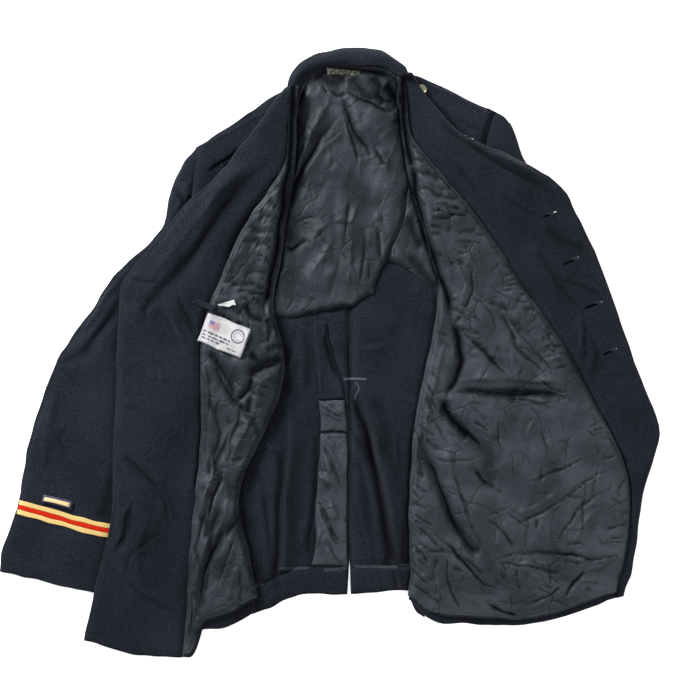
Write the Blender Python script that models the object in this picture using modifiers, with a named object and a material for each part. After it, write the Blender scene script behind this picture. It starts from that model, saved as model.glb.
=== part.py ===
"""Military dress tunic, laid on its back and opened so that its inside shows.

The coat lies with its collar towards +Y. Both fronts are turned outwards over the sleeves, so their
facings and satin linings face up. Run it with: blender --background --python part.py

Every cloth piece is a sheet: a net of points cut in sections from side to side, one section for each
level down the coat, that is laid on the pile of the pieces below it and given its wall by Solidify.
Tables are in millimetres; the meshes are in metres.
"""

import math

import bmesh
import bpy
import numpy as np
from mathutils import Matrix, Vector

MM = 0.001

# Cloth walls and clearances, in millimetres.
WOOL = 1.6
SATIN = 1.0
BRAID = 1.0
AIR = 0.9  # between two layers of the pile
CLOSE_AIR = 0.4  # below a piece that is sewn down
SEAM = 0.5  # between two pieces sewn edge to edge, measured along a section
ARC_STEPS = 3  # straight pieces round a fold
WOOL_BULGE = 3.5  # how far a fold swells beyond its line
SATIN_BULGE = 5.8  # the lining's fold goes round the wool's

# The pile is measured on a square lattice.
CELL = 6.0
HALF_SPAN = 540.0
SPREAD_CELLS = 5  # how far a bump below shows through a sheet
SOFTEN_CELLS = 3

# The sections of the wearer's right front. "edge" is its free edge, "facing" the seam from facing to
# lining, "pleat" the lining's main fold, "hinge" the line where the front turns over, "armhole" the
# outer end of the chest under it, "side" the back's side seam, "under" the cloth turned below the edge.
SECTION_COLUMNS = "y edge facing pleat hinge armhole side under"
RIGHT_SECTIONS = [
    (375, -58, -54, -52, -49, -61, -61, 3),
    (354, -72, -55, -52, -49, -94, -94, 12),
    (325, -91, -55, -52, -49, -135, -135, 24),
    (297, -114, -56, -53, -49, -178, -178, 38),
    (268, -138, -59, -55, -51, -187, -187, 46),
    (240, -165, -77, -63, -55, -192, -192, 50),
    (212, -195, -97, -75, -60, -192, -192, 50),
    (176, -223, -121, -89, -65, -185, -185, 42),
    (141, -253, -137, -97, -70, -166, -166, 28),
    (101, -285, -154, -108, -78, -133, -133, 10),
    (70, -288, -168, -120, -85, -108, -116, 7),
    (34, -291, -179, -126, -76, -98, -104, 7),
    (-9, -293, -182, -126, -64, -84, -92, 7),
    (-65, -295, -179, -129, -72, -92, -100, 7),
    (-129, -300, -180, -138, -102, -122, -128, 7),
    (-179, -300, -185, -149, -129, -148, -156, 7),
    (-222, -301, -192, -160, -134, -153, -160, 7),
    (-271, -310, -196, -165, -118, -136, -146, 7),
    (-321, -324, -199, -174, -109, -128, -138, 7),
    (-400, -342, -206, -180, -104, -123, -140, 7),
]
RIGHT_HEM = [(-342, -406), (-277, -427), (-197, -432), (-188, -424), (-180, -390), (-139, -385), (-104, -364)]
RIGHT_LINING_HEM = [(-342, -402), (-206, -430), (-190, -422), (-178, -376), (-140, -368), (-104, -346)]

# The same for the wearer's left front, whose lower edge is folded under.
LEFT_SECTIONS = [
    (389, 119, 111, 109, 106, 140, 140, 4),
    (368, 132, 111, 109, 106, 183, 183, 14),
    (346, 149, 112, 110, 108, 226, 226, 26),
    (325, 167, 114, 111, 108, 230, 230, 38),
    (304, 193, 118, 114, 111, 220, 220, 46),
    (283, 244, 135, 122, 114, 216, 216, 50),
    (261, 288, 155, 129, 116, 214, 214, 40),
    (233, 328, 178, 143, 124, 214, 214, 20),
    (197, 346, 209, 158, 135, 206, 206, 7),
    (155, 368, 239, 179, 149, 195, 195, 7),
    (105, 389, 268, 189, 162, 186, 186, 7),
    (48, 410, 310, 193, 156, 178, 182, 7),
    (-1, 427, 341, 182, 147, 168, 172, 7),
    (-51, 446, 369, 172, 135, 155, 160, 7),
    (-101, 467, 393, 160, 126, 146, 150, 9),
    (-151, 457, 419, 152, 122, 142, 145, 36),
    (-200, 443, 430, 160, 119, 139, 141, 52),
    (-250, 436, 426, 181, 119, 139, 140, 64),
    (-307, 426, 416, 214, 122, 141, 142, 74),
    (-360, 415, 408, 236, 117, 137, 138, 78),
]
LEFT_HEM = [(116, -346), (124, -364), (143, -378), (182, -383), (248, -387), (283, -386), (324, -376), (379, -356), (415, -344)]
LEFT_LINING_HEM = [(116, -340), (126, -356), (146, -369), (182, -373), (248, -377), (283, -376), (324, -367), (379, -347), (415, -336)]

RIGHT_UNDERARM, LEFT_UNDERARM = 101, 105

# The back's neck and hem.
BACK_NECK = [
    (-61, 375),
    (-50, 383),
    (-36, 395),
    (-20, 402),
    (-3, 407),
    (23, 410),
    (47, 410),
    (70, 409),
    (88, 404),
    (102, 399),
    (114, 393),
    (140, 388),
]
CENTRE_SEAM = 29.5
VENT_MOUTH, VENT_OPENING = -290, 5.0  # the vent lies closed but for its last stretch
BACK_HEM_RIGHT = [(-140, -377), (-118, -371), (-84, -362), (-55, -347), (-45, -341), (30, -342)]
BACK_HEM_LEFT = [(30, -341), (105, -335), (142, -338)]

# The sleeves, from the shoulder to the cuff. "inner" counts below the underarm only.
SLEEVE_COLUMNS = "y outer inner"
RIGHT_SLEEVE = [
    (297, -187, -178),
    (281, -200, -185),
    (246, -216, -190),
    (223, -224, -192),
    (200, -229, -190),
    (175, -236, -185),
    (142, -273, -166),
    (101, -311, -133),
    (68, -331, -148),
    (34, -358, -172),
    (-9, -385, -204),
    (-54, -403, -230),
    (-105, -420, -256),
    (-182, -435, -285),
    (-226, -443, -297),
    (-271, -461, -310),
    (-330, -467, -328),
]
CUFF_ROOM = 25  # no section lies nearer to the cuff's lowest point
RIGHT_CUFF = [(-467, -308), (-372, -331), (-328, -339)]
RIGHT_SLEEVE_HEAD = [(-190, 290), (-178, 297)]
LEFT_SLEEVE = [
    (346, 256, 227),
    (325, 260, 230),
    (304, 268, 220),
    (287, 274, 216),
    (266, 284, 214),
    (233, 307, 214),
    (197, 325, 206),
    (155, 342, 195),
    (105, 356, 186),
    (48, 368, 200),
    (-51, 385, 221),
    (-151, 398, 238),
    (-250, 402, 252),
    (-330, 402, 258),
]
LEFT_CUFF = [(258, -327), (402, -314)]
LEFT_SLEEVE_HEAD = [(226, 347), (240, 341), (249, 336), (256, 329)]

# The half lining of the back: a wide right half that hangs free over a narrower left one. Each runs on
# under the front lining beside it; "free" is its other edge.
HALF_LINING_COLUMNS = "y free"
BACK_LINING_RIGHT = [
    (375, 112),
    (354, 112),
    (325, 113),
    (297, 114),
    (268, 116),
    (240, 112),
    (212, 111),
    (183, 105),
    (155, 91),
    (126, 80),
    (104, 68),
    (84, 62),
]
BACK_LINING_RIGHT_HEM = [(-100, 75), (-84, 66), (-74, 52), (-61, 50), (-37, 54), (-3, 62), (23, 67), (44, 73), (62, 84)]
BACK_LINING_LEFT = [(268, 100), (240, 97), (212, 92), (183, 86), (155, 84), (126, 84)]
BACK_LINING_LEFT_HEM = [(84, 134), (106, 124), (138, 104), (150, 90), (166, 80)]
LINING_RUN_UNDER = 7

# The vent: a wool underlap above, two satin facings below.
STRIP_COLUMNS = "y left right"
VENT_UNDERLAP = [(48, -20, -2), (20, -21, 2), (-9, -18, 10), (-40, -14, 19), (-64, -13, 23)]
VENT_FACING_TOP = [(-66, -12, 22), (-88, -11, 24), (-111, -10, 26)]
VENT_FACING = [(-114, -10, 25), (-165, -13, 27), (-205, -16, 27), (-240, -20, 27), (-257, -17, 27), (-301, -24, 27)]
HEM_TURN = 37  # depth of the turned-up hem

# The collar, as a half ring of sections from the wearer's right end to the left: neck seam and roll line.
COLLAR_COLUMNS = "neck_x neck_y roll_x roll_y"
COLLAR = [
    (-44, 376, -58, 376),
    (-41, 384, -54, 393),
    (-33, 393, -44, 408),
    (-20, 400, -26, 420),
    (-3, 405, -3, 428),
    (23, 408, 23, 432),
    (47, 408, 47, 432),
    (70, 407, 72, 428),
    (87, 402, 92, 417),
    (99, 397, 108, 405),
    (107, 391, 118, 393),
]
COLLAR_STAND_RISE = 7
COLLAR_OVERLAP = 2.0  # of the collar over the neck's edge

# Broad folds, as soft ridges from one end to the other. The steep side is to the right of the way from
# (x1, y1) to (x2, y2). Heights and widths in millimetres.
FOLD_COLUMNS = "x1 y1 x2 y2 height gentle steep"
BACK_FOLDS = [
    (76, -80, 108, -320, 7, 18, 12),
    (-58, -180, -66, -320, 6, 14, 10),
    (60, 90, 74, -60, 5, 30, 22),
]
RIGHT_FRONT_FOLDS = [
    (-98, 318, -246, 128, 9, 17, 15),
    (-280, 84, -288, 30, 5, 18, 16),
    (-168, -250, -186, -405, 9, 62, 12),
    (-262, -60, -190, -128, 4, 20, 16),
    (-280, -215, -300, -300, 5, 24, 18),
]
LEFT_FRONT_FOLDS = [
    (186, 300, 322, 212, 7, 17, 15),
    (300, 150, 380, 20, 5, 24, 20),
    (330, 60, 420, -90, 4, 26, 20),
]
RIGHT_LINING_FOLDS = [
    (-70, 205, -88, 110, 6, 18, 14),
    (-96, 76, -150, 84, 6, 12, 12),
    (-130, 20, -88, -40, 8, 20, 14),
    (-70, -30, -124, -128, 7, 16, 12),
    (-150, -215, -136, -300, 6, 16, 14),
    (-164, -150, -172, -235, 6, 16, 12),
]
LEFT_LINING_FOLDS = [
    (122, 262, 160, 130, 8, 16, 12),
    (186, 190, 204, 120, 5, 18, 16),
    (196, 64, 214, 0, 7, 22, 16),
    (186, -34, 350, -30, 10, 24, 11),
    (190, -50, 252, -136, 9, 26, 11),
    (176, -92, 180, -182, 9, 26, 13),
    (180, -182, 206, -258, 12, 36, 13),
    (206, -258, 286, -336, 11, 34, 13),
    (250, -190, 400, -110, 4, 20, 16),
    (300, -280, 420, -250, 5, 24, 18),
    (140, -230, 150, -340, 5, 14, 14),
]
BACK_LINING_FOLDS = [
    (-50, 250, -4, 350, 9, 20, 11),
    (23, 318, -52, 190, 8, 24, 11),
    (-76, 92, -58, 180, 8, 30, 13),
    (12, 270, -8, 80, 8, 30, 24),
    (44, 352, 74, 280, 9, 22, 11),
    (92, 330, 84, 190, 8, 22, 18),
    (44, 190, 40, 86, 6, 13, 10),
    (96, 376, 60, 352, 7, 16, 12),
]
SLEEVE_PUFF = 4.0

# Buttons, straps, braid and labels.
STRAP_WIDTH, STRAP_TIP_WIDTH = 36, 24
LEFT_STRAP = ((226, 326), (124, 380))
RIGHT_STRAP = ((-180, 276), (-62, 346))
STRAP_BUTTON_RADIUS, FRONT_BUTTON_RADIUS = 5.8, 11.0
STRAP_BUTTON_INSET = 11
FRONT_BUTTONS = [(-266, 76), (-270, 4), (-271, -67), (-273, -138)]
CUFF_STRIPE = 6.6
BRAID_FROM_CUFF = 111
RIGHT_BAR_CENTRE, BAR_SIZE, BAR_PATCH = (-384, -209), (37, 6), (43, 12)
BAR_TILT = -14
LABEL_CENTRE, LABEL_SIZE, LABEL_TILT = (-146, 26), (66, 42), -23
NECK_LABEL = (21, 398, 50, 8)  # centre, width, depth
POCKET_WELT = ((-190, 76), (-156, 62), 8)  # two ends and width
TAG = ((-153, 66), (-130, 72), 9)

# Colours (linear RGB), roughness and metallic.
FINISHES = {
    "wool": ((0.012, 0.015, 0.024), 0.9, 0.0),
    "satin": ((0.045, 0.05, 0.06), 0.45, 0.0),
    "gold": ((0.72, 0.50, 0.16), 0.6, 0.0),
    "scarlet": ((0.62, 0.03, 0.02), 0.7, 0.0),
    "brass": ((0.75, 0.6, 0.35), 0.25, 1.0),
    "label": ((0.75, 0.72, 0.68), 0.8, 0.0),
    "woven": ((0.05, 0.045, 0.03), 0.8, 0.0),
}


# ---------------------------------------------------------------- tables and plans


def table(columns, rows):
    """Rows with named columns as {name: values}, each rising with the first column."""
    values = np.array(sorted(rows), float)
    return dict(zip(columns.split(), values.T))


class Sections:
    """The columns of a table as functions of the level y, and the levels at which sheets are cut."""

    def __init__(self, columns, rows):
        self.columns = table(columns, rows)
        self.levels = np.array(sorted(self.columns["y"], reverse=True))

    def at(self, name, shift=0.0):
        ys, xs = self.columns["y"], self.columns[name]
        return lambda y: np.interp(y, ys, xs) + shift


def curve(points):
    """A hem or a cuff as y of x."""
    xs, ys = np.array(sorted(points), float).T
    return lambda x: np.interp(x, xs, ys)


def spread(ends, steps):
    """Values through the stations, with each stretch cut into its own number of steps."""
    parts = [np.linspace(a, b, n, endpoint=False) for a, b, n in zip(ends, ends[1:], steps)]
    return np.append(np.concatenate(parts), ends[-1])


def plan(levels, stations, steps, hem=None, hem_rows=3, head=None):
    """Plan of a sheet: [row, column, x or y]. The first and last levels are nominal where the sheet has a
    head or a hem: its points there move to that curve."""

    def row(level, end=None, near=0.0, share=0.0):
        xs = spread([station(level) for station in stations], steps)
        return [(x, near + share * (end(x) - near) if end else level) for x in xs]

    rows = [row(level) for level in levels]
    if head is not None:
        nominal, near = levels[:2]
        shares = (1.0, 0.5)
        rows[:1] = [row(near + share * (nominal - near), head, near, share) for share in shares]
    if hem is not None:
        near, nominal = levels[-2:]
        shares = np.arange(1, hem_rows + 1) / hem_rows
        rows[-1:] = [row(near + share * (nominal - near), hem, near, share) for share in shares]
    return np.array(rows)


def ridges(xy, folds):
    """Height that a list of folds adds at plan points."""
    height = np.zeros(xy.shape[:-1])
    for x1, y1, x2, y2, top, gentle, steep in folds:
        start, way = np.array([x1, y1]), np.array([x2 - x1, y2 - y1], float)
        length = np.linalg.norm(way)
        way /= length
        offset = xy - start
        along = np.clip(offset @ way, 0, length)
        away = np.linalg.norm(offset - along[..., None] * way, axis=-1)
        right_of_way = offset @ np.array([way[1], -way[0]]) > 0
        width = np.where(right_of_way, steep, gentle)
        taper = np.minimum(1, np.minimum(along, length - along) / (0.25 * length) + 0.35)
        height = np.maximum(height, top * taper * (1.05 * np.exp(-((away / width) ** 2)) - 0.05))
    return height


# ---------------------------------------------------------------- the pile


class Pile:
    """Top of the cloth laid so far, on a lattice over the floor."""

    def __init__(self):
        count = int(2 * HALF_SPAN / CELL) + 1
        self.top = np.zeros((count, count))

    def cell(self, xy):
        index = np.rint((xy + HALF_SPAN) / CELL).astype(int)
        return index[..., 1], index[..., 0]

    @staticmethod
    def refined(net, times=6):
        """A net with more points, on the two triangles into which each of its squares is cut."""
        at = [np.linspace(0, n - 1, (n - 1) * times + 1) for n in net.shape[:2]]
        row, column = np.meshgrid(*at, indexing="ij")
        low_row = np.minimum(row.astype(int), net.shape[0] - 2)
        low_column = np.minimum(column.astype(int), net.shape[1] - 2)
        down, right = (row - low_row)[..., None], (column - low_column)[..., None]
        near, far = net[low_row, low_column], net[low_row + 1, low_column + 1]
        beside, below = net[low_row, low_column + 1], net[low_row + 1, low_column]
        first = near + right * (beside - near) + down * (far - beside)
        second = near + down * (below - near) + right * (far - below)
        return np.where(right >= down, first, second)

    @staticmethod
    def disc(cells):
        reach = range(-cells, cells + 1)
        return [(dy, dx) for dy in reach for dx in reach if dy * dy + dx * dx <= cells * cells + 1]

    def drape(self, need, spread_cells, soften_cells):
        """A soft surface that is nowhere below need."""
        moved = [np.roll(need, shift, (0, 1)) for shift in self.disc(spread_cells)]
        high = np.max(moved, axis=0)
        return np.mean([np.roll(high, shift, (0, 1)) for shift in self.disc(soften_cells)], axis=0)

    def sample(self, field, xy):
        at = (xy + HALF_SPAN) / CELL
        low = np.floor(at).astype(int)
        share = at - low
        x, y, fx, fy = low[..., 0], low[..., 1], share[..., 0], share[..., 1]
        near = field[y, x] * (1 - fx) + field[y, x + 1] * fx
        far = field[y + 1, x] * (1 - fx) + field[y + 1, x + 1] * fx
        return near * (1 - fy) + far * fy

    def lay(self, net, wall, folds=(), close=False, flat_sides=False):
        """Lays a sheet with this plan on the pile and returns its middle surface [row, column, xyz]. A sheet
        that is sewn down lies close on what is below it."""
        air = CLOSE_AIR if close else AIR
        fine = self.refined(net)
        under = np.zeros_like(self.top, bool)
        under[self.cell(fine)] = True
        need = np.where(under & (self.top > 0), self.top + air, 0.0)
        relief = ridges(net, folds)
        if flat_sides:
            relief[:, (0, -1)] = 0
        cells = (1, 1) if close else (SPREAD_CELLS, SOFTEN_CELLS)
        low = self.sample(self.drape(need, *cells), net) + relief
        need_fine = need[self.cell(fine)]
        for _ in range(12):
            short = need_fine - self.refined(np.dstack([net, low]))[..., 2]
            times = (short.shape[0] - 1) // (low.shape[0] - 1)
            lift = np.zeros_like(low)
            for row, column in np.argwhere(short > 0.02):
                r, c = row / times, column / times
                for i in {math.floor(r), math.ceil(r)}:
                    for j in {math.floor(c), math.ceil(c)}:
                        lift[i, j] = max(lift[i, j], short[row, column])
            low += 0.6 * lift
        surface = self.refined(np.dstack([net, low + wall]))
        cells = self.cell(surface[..., :2])
        np.maximum.at(self.top, cells, surface[..., 2])
        return np.dstack([net, low + wall / 2])


# ---------------------------------------------------------------- solids


def clear_scene():
    for obj in list(bpy.data.objects):
        bpy.data.objects.remove(obj)


def finish_named(name):
    material = bpy.data.materials.get(name) or bpy.data.materials.new(name)
    colour, roughness, metallic = FINISHES[name]
    material.use_nodes = True
    shader = material.node_tree.nodes["Principled BSDF"]
    shader.inputs["Base Color"].default_value = (*colour, 1)
    shader.inputs["Roughness"].default_value = roughness
    shader.inputs["Metallic"].default_value = metallic
    material.diffuse_color = (*colour, 1)
    return material


def add_object(name, mesh, finish):
    obj = bpy.data.objects.new(name, mesh)
    mesh.materials.append(finish_named(finish))
    COAT.objects.link(obj)
    return obj


def cloth(name, points, wall, finish):
    """A wall of cloth about a net of points in millimetres, [row, column, xyz]."""
    rows, columns = points.shape[:2]
    shape = bmesh.new()
    bmesh.ops.create_grid(shape, x_segments=columns - 1, y_segments=rows - 1, size=0.5)
    for vert in shape.verts:
        column = round((vert.co.x + 0.5) * (columns - 1))
        row = round((vert.co.y + 0.5) * (rows - 1))
        vert.co = Vector(points[row, column]) * MM
    bmesh.ops.triangulate(shape, faces=shape.faces, quad_method="FIXED")
    bmesh.ops.recalc_face_normals(shape, faces=shape.faces)
    mesh = bpy.data.meshes.new(name)
    shape.to_mesh(mesh)
    shape.free()
    mesh.shade_smooth()
    obj = add_object(name, mesh, finish)
    solid = obj.modifiers.new("wall", "SOLIDIFY")
    solid.thickness = wall * MM
    solid.offset = 0
    solid.use_quality_normals = True
    return obj


def turned(lower, upper, outwards, bulge=WOOL_BULGE):
    """Joins two laid nets whose rows meet at a fold: lower ends where upper starts. The fold's arc bulges
    outwards along x (+1 or -1)."""
    start, end = lower[:, -1], upper[:, 0]
    height = (end[:, 2] - start[:, 2]) / 2
    radius = np.minimum(height, bulge)
    middle = (end[:, 2] + start[:, 2]) / 2
    arcs = []
    for angle in np.arange(1, ARC_STEPS) * math.pi / ARC_STEPS:
        arc = end.copy()
        arc[:, 0] += outwards * radius * math.sin(angle)
        arc[:, 2] = middle - height * math.cos(angle)
        arcs.append(arc)
    return np.concatenate([lower, np.stack(arcs, 1), upper], axis=1)


def strip_plan(start, end, width, rows, columns, end_width=None):
    """Plan of a straight strip from start to end, which may narrow to end_width."""
    start, end = np.array(start, float), np.array(end, float)
    way = (end - start) / np.linalg.norm(end - start)
    across = np.array([-way[1], way[0]])
    end_width = width if end_width is None else end_width
    net = np.zeros((rows + 1, columns + 1, 2))
    for i, u in enumerate(np.linspace(0, 1, rows + 1)):
        half = (width + (end_width - width) * u) / 2
        for j, v in enumerate(np.linspace(-1, 1, columns + 1)):
            net[i, j] = start + (end - start) * u + across * half * v
    return net


def patch_plan(centre, size, tilt, rows, columns):
    """Plan of a turned rectangle."""
    way = np.array([math.cos(math.radians(tilt)), math.sin(math.radians(tilt))])
    half = way * size[0] / 2
    return strip_plan(np.array(centre) - half, np.array(centre) + half, size[1], rows, columns)


def add_button(name, centre, radius):
    """A domed metal button with a rim, turned about its axis, standing on the pile."""
    x, y = centre
    reach = np.array([[[x + radius * a, y + radius * b] for a in (-1, 0, 1)] for b in (-1, 0, 1)])
    floor = PILE.top[PILE.cell(PILE.refined(reach))].max() + 0.35
    height = 0.42 * radius
    profile = [(1e-4, height), (0.45, 0.93 * height), (0.78, 0.66 * height), (0.88, 0.5 * height)]
    profile += [(1.0, 0.42 * height), (0.98, 0.12 * height), (0.8, 0.0), (1e-4, 0.0)]
    shape = bmesh.new()
    verts = [shape.verts.new((share * radius * MM, 0, z * MM)) for share, z in profile]
    edges = [shape.edges.new(pair) for pair in zip(verts, verts[1:])]
    bmesh.ops.spin(
        shape,
        geom=verts + edges,
        cent=(0, 0, 0),
        axis=(0, 0, 1),
        angle=math.tau,
        steps=14,
        use_merge=True,
    )
    bmesh.ops.remove_doubles(shape, verts=shape.verts, dist=0.3 * radius * 1e-3 * MM + 2e-6)
    bmesh.ops.recalc_face_normals(shape, faces=shape.faces)
    bmesh.ops.transform(shape, matrix=Matrix.Translation(Vector((x, y, floor)) * MM), verts=shape.verts)
    mesh = bpy.data.meshes.new(name)
    shape.to_mesh(mesh)
    shape.free()
    mesh.shade_smooth()
    mesh.set_sharp_from_angle(angle=math.radians(40))
    raised = np.full(reach.shape[:2], floor + height)
    cells = PILE.cell(PILE.refined(reach))
    np.maximum.at(PILE.top, cells, PILE.refined(np.dstack([reach, raised]))[..., 2])
    return add_object(name, mesh, "brass")


# ---------------------------------------------------------------- the pieces


def both(first, second, y_over):
    """The first column above a level and the second one below it."""
    return lambda y: first(y) if y >= y_over else second(y)


def back_halves():
    neck = curve(BACK_NECK)

    def seam(y):
        opening = VENT_OPENING * np.clip((VENT_MOUTH - y) / 50, 0, 1)
        return max(SEAM, opening) / 2

    right, left = Sections(SECTION_COLUMNS, RIGHT_SECTIONS), Sections(SECTION_COLUMNS, LEFT_SECTIONS)
    levels = np.append(right.levels[:-1], -360)
    stations = [right.at("side"), lambda y: CENTRE_SEAM - seam(y)]
    net = plan(levels, stations, [6], curve(BACK_HEM_RIGHT), 1, neck)
    cloth("back_right", PILE.lay(net, WOOL, BACK_FOLDS), WOOL, "wool")
    levels = np.append(left.levels[:-1], -340)
    stations = [lambda y: CENTRE_SEAM + seam(y), left.at("side")]
    net = plan(levels, stations, [6], curve(BACK_HEM_LEFT), 1, neck)
    cloth("back_left", PILE.lay(net, WOOL, BACK_FOLDS), WOOL, "wool")


def hem_turns():
    """The back's hem, turned up inside and felled."""
    for name, hem, x_from, x_to in (
        ("hem_turn_right", curve(BACK_HEM_RIGHT), -136, CENTRE_SEAM - 3),
        ("hem_turn_left", curve(BACK_HEM_LEFT), CENTRE_SEAM + 3, 140),
    ):
        xs = np.linspace(x_from, x_to, 9)
        net = np.array([[(x, hem(x) + up) for x in xs] for up in (HEM_TURN, HEM_TURN / 2, 1.5)])
        cloth(name, PILE.lay(net, WOOL, close=True), WOOL, "wool")


def vent_pieces():
    for name, rows, wall, finish in (
        ("vent_underlap", VENT_UNDERLAP, WOOL, "wool"),
        ("vent_facing", VENT_FACING, SATIN, "satin"),
        ("vent_facing_top", VENT_FACING_TOP, SATIN, "satin"),
    ):
        strip = Sections(STRIP_COLUMNS, rows)
        net = plan(strip.levels, [strip.at("left"), strip.at("right")], [2])
        cloth(name, PILE.lay(net, wall, close=True), wall, finish)


def sleeve(side, rows, sections, head, cuff, underarm, flip):
    """Under and top sleeve. The top one springs from the seams at both long edges."""
    tube = Sections(SLEEVE_COLUMNS, rows)
    front = Sections(SECTION_COLUMNS, sections)
    inner = both(front.at("armhole", flip * SEAM), tube.at("inner"), underarm)
    levels = [y for y in front.levels if tube.levels[-1] + CUFF_ROOM < y <= tube.levels[0]] + [tube.levels[-1]]
    stations = [tube.at("outer"), inner]
    net = plan(np.array(levels), stations, [5], curve(cuff), 2, curve(head))
    under = PILE.lay(net, WOOL)
    cloth(f"under_sleeve_{side}", under, WOOL, "wool")
    top = PILE.lay(net, WOOL, close=True)
    across = np.linspace(-1, 1, top.shape[1])
    down = np.linspace(0, 1, top.shape[0])
    puff = SLEEVE_PUFF * (1 - across**4)[None, :] * (1 - 0.6 * down[:, None])
    top[..., 2] += puff
    refresh(top, WOOL)
    cloth(f"top_sleeve_{side}", top, WOOL, "wool")
    cuff_braid(side, top)


def refresh(points, wall):
    """Raises the pile to a sheet that was moved after it was laid."""
    fine = PILE.refined(points)
    np.maximum.at(PILE.top, PILE.cell(fine[..., :2]), fine[..., 2] + wall / 2)


def along_sheet(points, distance_from_end):
    """A row of points across a sheet, at a distance from its last row, measured along its columns."""
    back = points[::-1]
    found = []
    for column in range(points.shape[1]):
        line = back[:, column]
        run = np.append(0, np.cumsum(np.linalg.norm(np.diff(line, axis=0), axis=1)))
        found.append([np.interp(distance_from_end, run, line[:, axis]) for axis in range(3)])
    return np.array(found)


def cuff_braid(side, top):
    """Three bands of braid across the top sleeve, laid on its own points."""
    for number, finish in enumerate(("gold", "scarlet", "gold")):
        near = BRAID_FROM_CUFF - number * (CUFF_STRIPE + 0.3)
        rows = [along_sheet(top, near - share * CUFF_STRIPE) for share in (0.0, 0.5, 1.0)]
        band = np.array(rows)
        band[..., 2] += (WOOL + BRAID) / 2 + 0.3
        refresh(band, BRAID)
        cloth(f"cuff_braid_{side}_{number + 1}", band, BRAID, finish)


def half_lining():
    hinge = Sections(SECTION_COLUMNS, LEFT_SECTIONS).at("hinge", LINING_RUN_UNDER)
    half = Sections(HALF_LINING_COLUMNS, BACK_LINING_LEFT)
    net = plan(half.levels, [half.at("free"), hinge], [4], curve(BACK_LINING_LEFT_HEM), 1)
    cloth("back_lining_left", PILE.lay(net, SATIN), SATIN, "satin")
    hinge = Sections(SECTION_COLUMNS, RIGHT_SECTIONS).at("hinge", -LINING_RUN_UNDER)
    half = Sections(HALF_LINING_COLUMNS, BACK_LINING_RIGHT)
    hem, neck = curve(BACK_LINING_RIGHT_HEM), curve(BACK_NECK)
    net = plan(half.levels, [hinge, half.at("free")], [9], hem, 1, neck)
    cloth("back_lining_right", PILE.lay(net, SATIN, BACK_LINING_FOLDS, flat_sides=True), SATIN, "satin")


class Front:
    """One front: chest, turned-out shell, facing and lining."""

    def __init__(self, side, sections, hem, lining_hem, outwards, shell_folds, lining_folds):
        self.side, self.out = side, outwards
        self.shell_folds, self.lining_folds = shell_folds, lining_folds
        self.cut = Sections(SECTION_COLUMNS, sections)
        self.hem, self.lining_hem = curve(hem), curve(lining_hem)

    def tail(self, y):
        return self.cut.at("edge")(y) - self.out * self.cut.at("under")(y)

    def lay_chest(self):
        """What lies under the turned-out front: the lining's return and the chest."""
        cut, out = self.cut, self.out
        back = cut.at("hinge", out * 12)
        net = plan(cut.levels, [back, cut.at("hinge")], [1], self.lining_hem)
        self.lining_low = PILE.lay(net, SATIN)
        net = plan(cut.levels, [cut.at("armhole"), cut.at("hinge")], [3], self.hem)
        self.shell_low = PILE.lay(net, WOOL)

    def lay_turned(self):
        """The turned-out shell on the turned-under facing, then the facing and lining on it."""
        cut, out = self.cut, self.out
        inner = cut.at("edge", -out * 0.5)
        net = plan(cut.levels, [self.tail, cut.at("edge")], [2], self.hem)
        facing_low = PILE.lay(net, WOOL)
        stations = [cut.at("hinge"), cut.at("pleat"), cut.at("facing"), inner]
        net = plan(cut.levels, stations, [4, 3, 4], self.hem)
        shell_up = PILE.lay(net, WOOL, self.shell_folds)
        shell = turned(self.shell_low, shell_up, -out)
        cloth(f"front_{self.side}", shell, WOOL, "wool")

        stations = [cut.at("edge"), cut.at("facing", out * SEAM / 2)]
        net = plan(cut.levels, stations, [4], self.hem)
        facing_up = PILE.lay(net, WOOL)
        cloth(f"facing_{self.side}", turned(facing_low, facing_up, out), WOOL, "wool")

        step = cut.at("pleat", -out * 9)
        stations = [cut.at("hinge"), step, cut.at("pleat"), cut.at("facing", -out * SEAM / 2)]
        net = plan(cut.levels, stations, [4, 1, 7], self.lining_hem)
        lining_up = PILE.lay(net, SATIN, self.lining_folds)
        lining = turned(self.lining_low, lining_up, -out, SATIN_BULGE)
        cloth(f"front_lining_{self.side}", lining, SATIN, "satin")


def shoulder_strap(side, ends):
    """A strap from the sleeve seam towards the neck, pointed at its buttoned end."""
    start, end = ends
    net = strip_plan(start, end, STRAP_WIDTH, 5, 2, STRAP_TIP_WIDTH)
    way = net[-1, 1] - net[0, 1]
    net[-1, (0, 2)] -= way / np.linalg.norm(way) * 10
    cloth(f"shoulder_strap_{side}", PILE.lay(net, WOOL), WOOL, "wool")
    inset = net[-1, 1] - way / np.linalg.norm(way) * STRAP_BUTTON_INSET
    add_button(f"strap_button_{side}", inset, STRAP_BUTTON_RADIUS)


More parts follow.
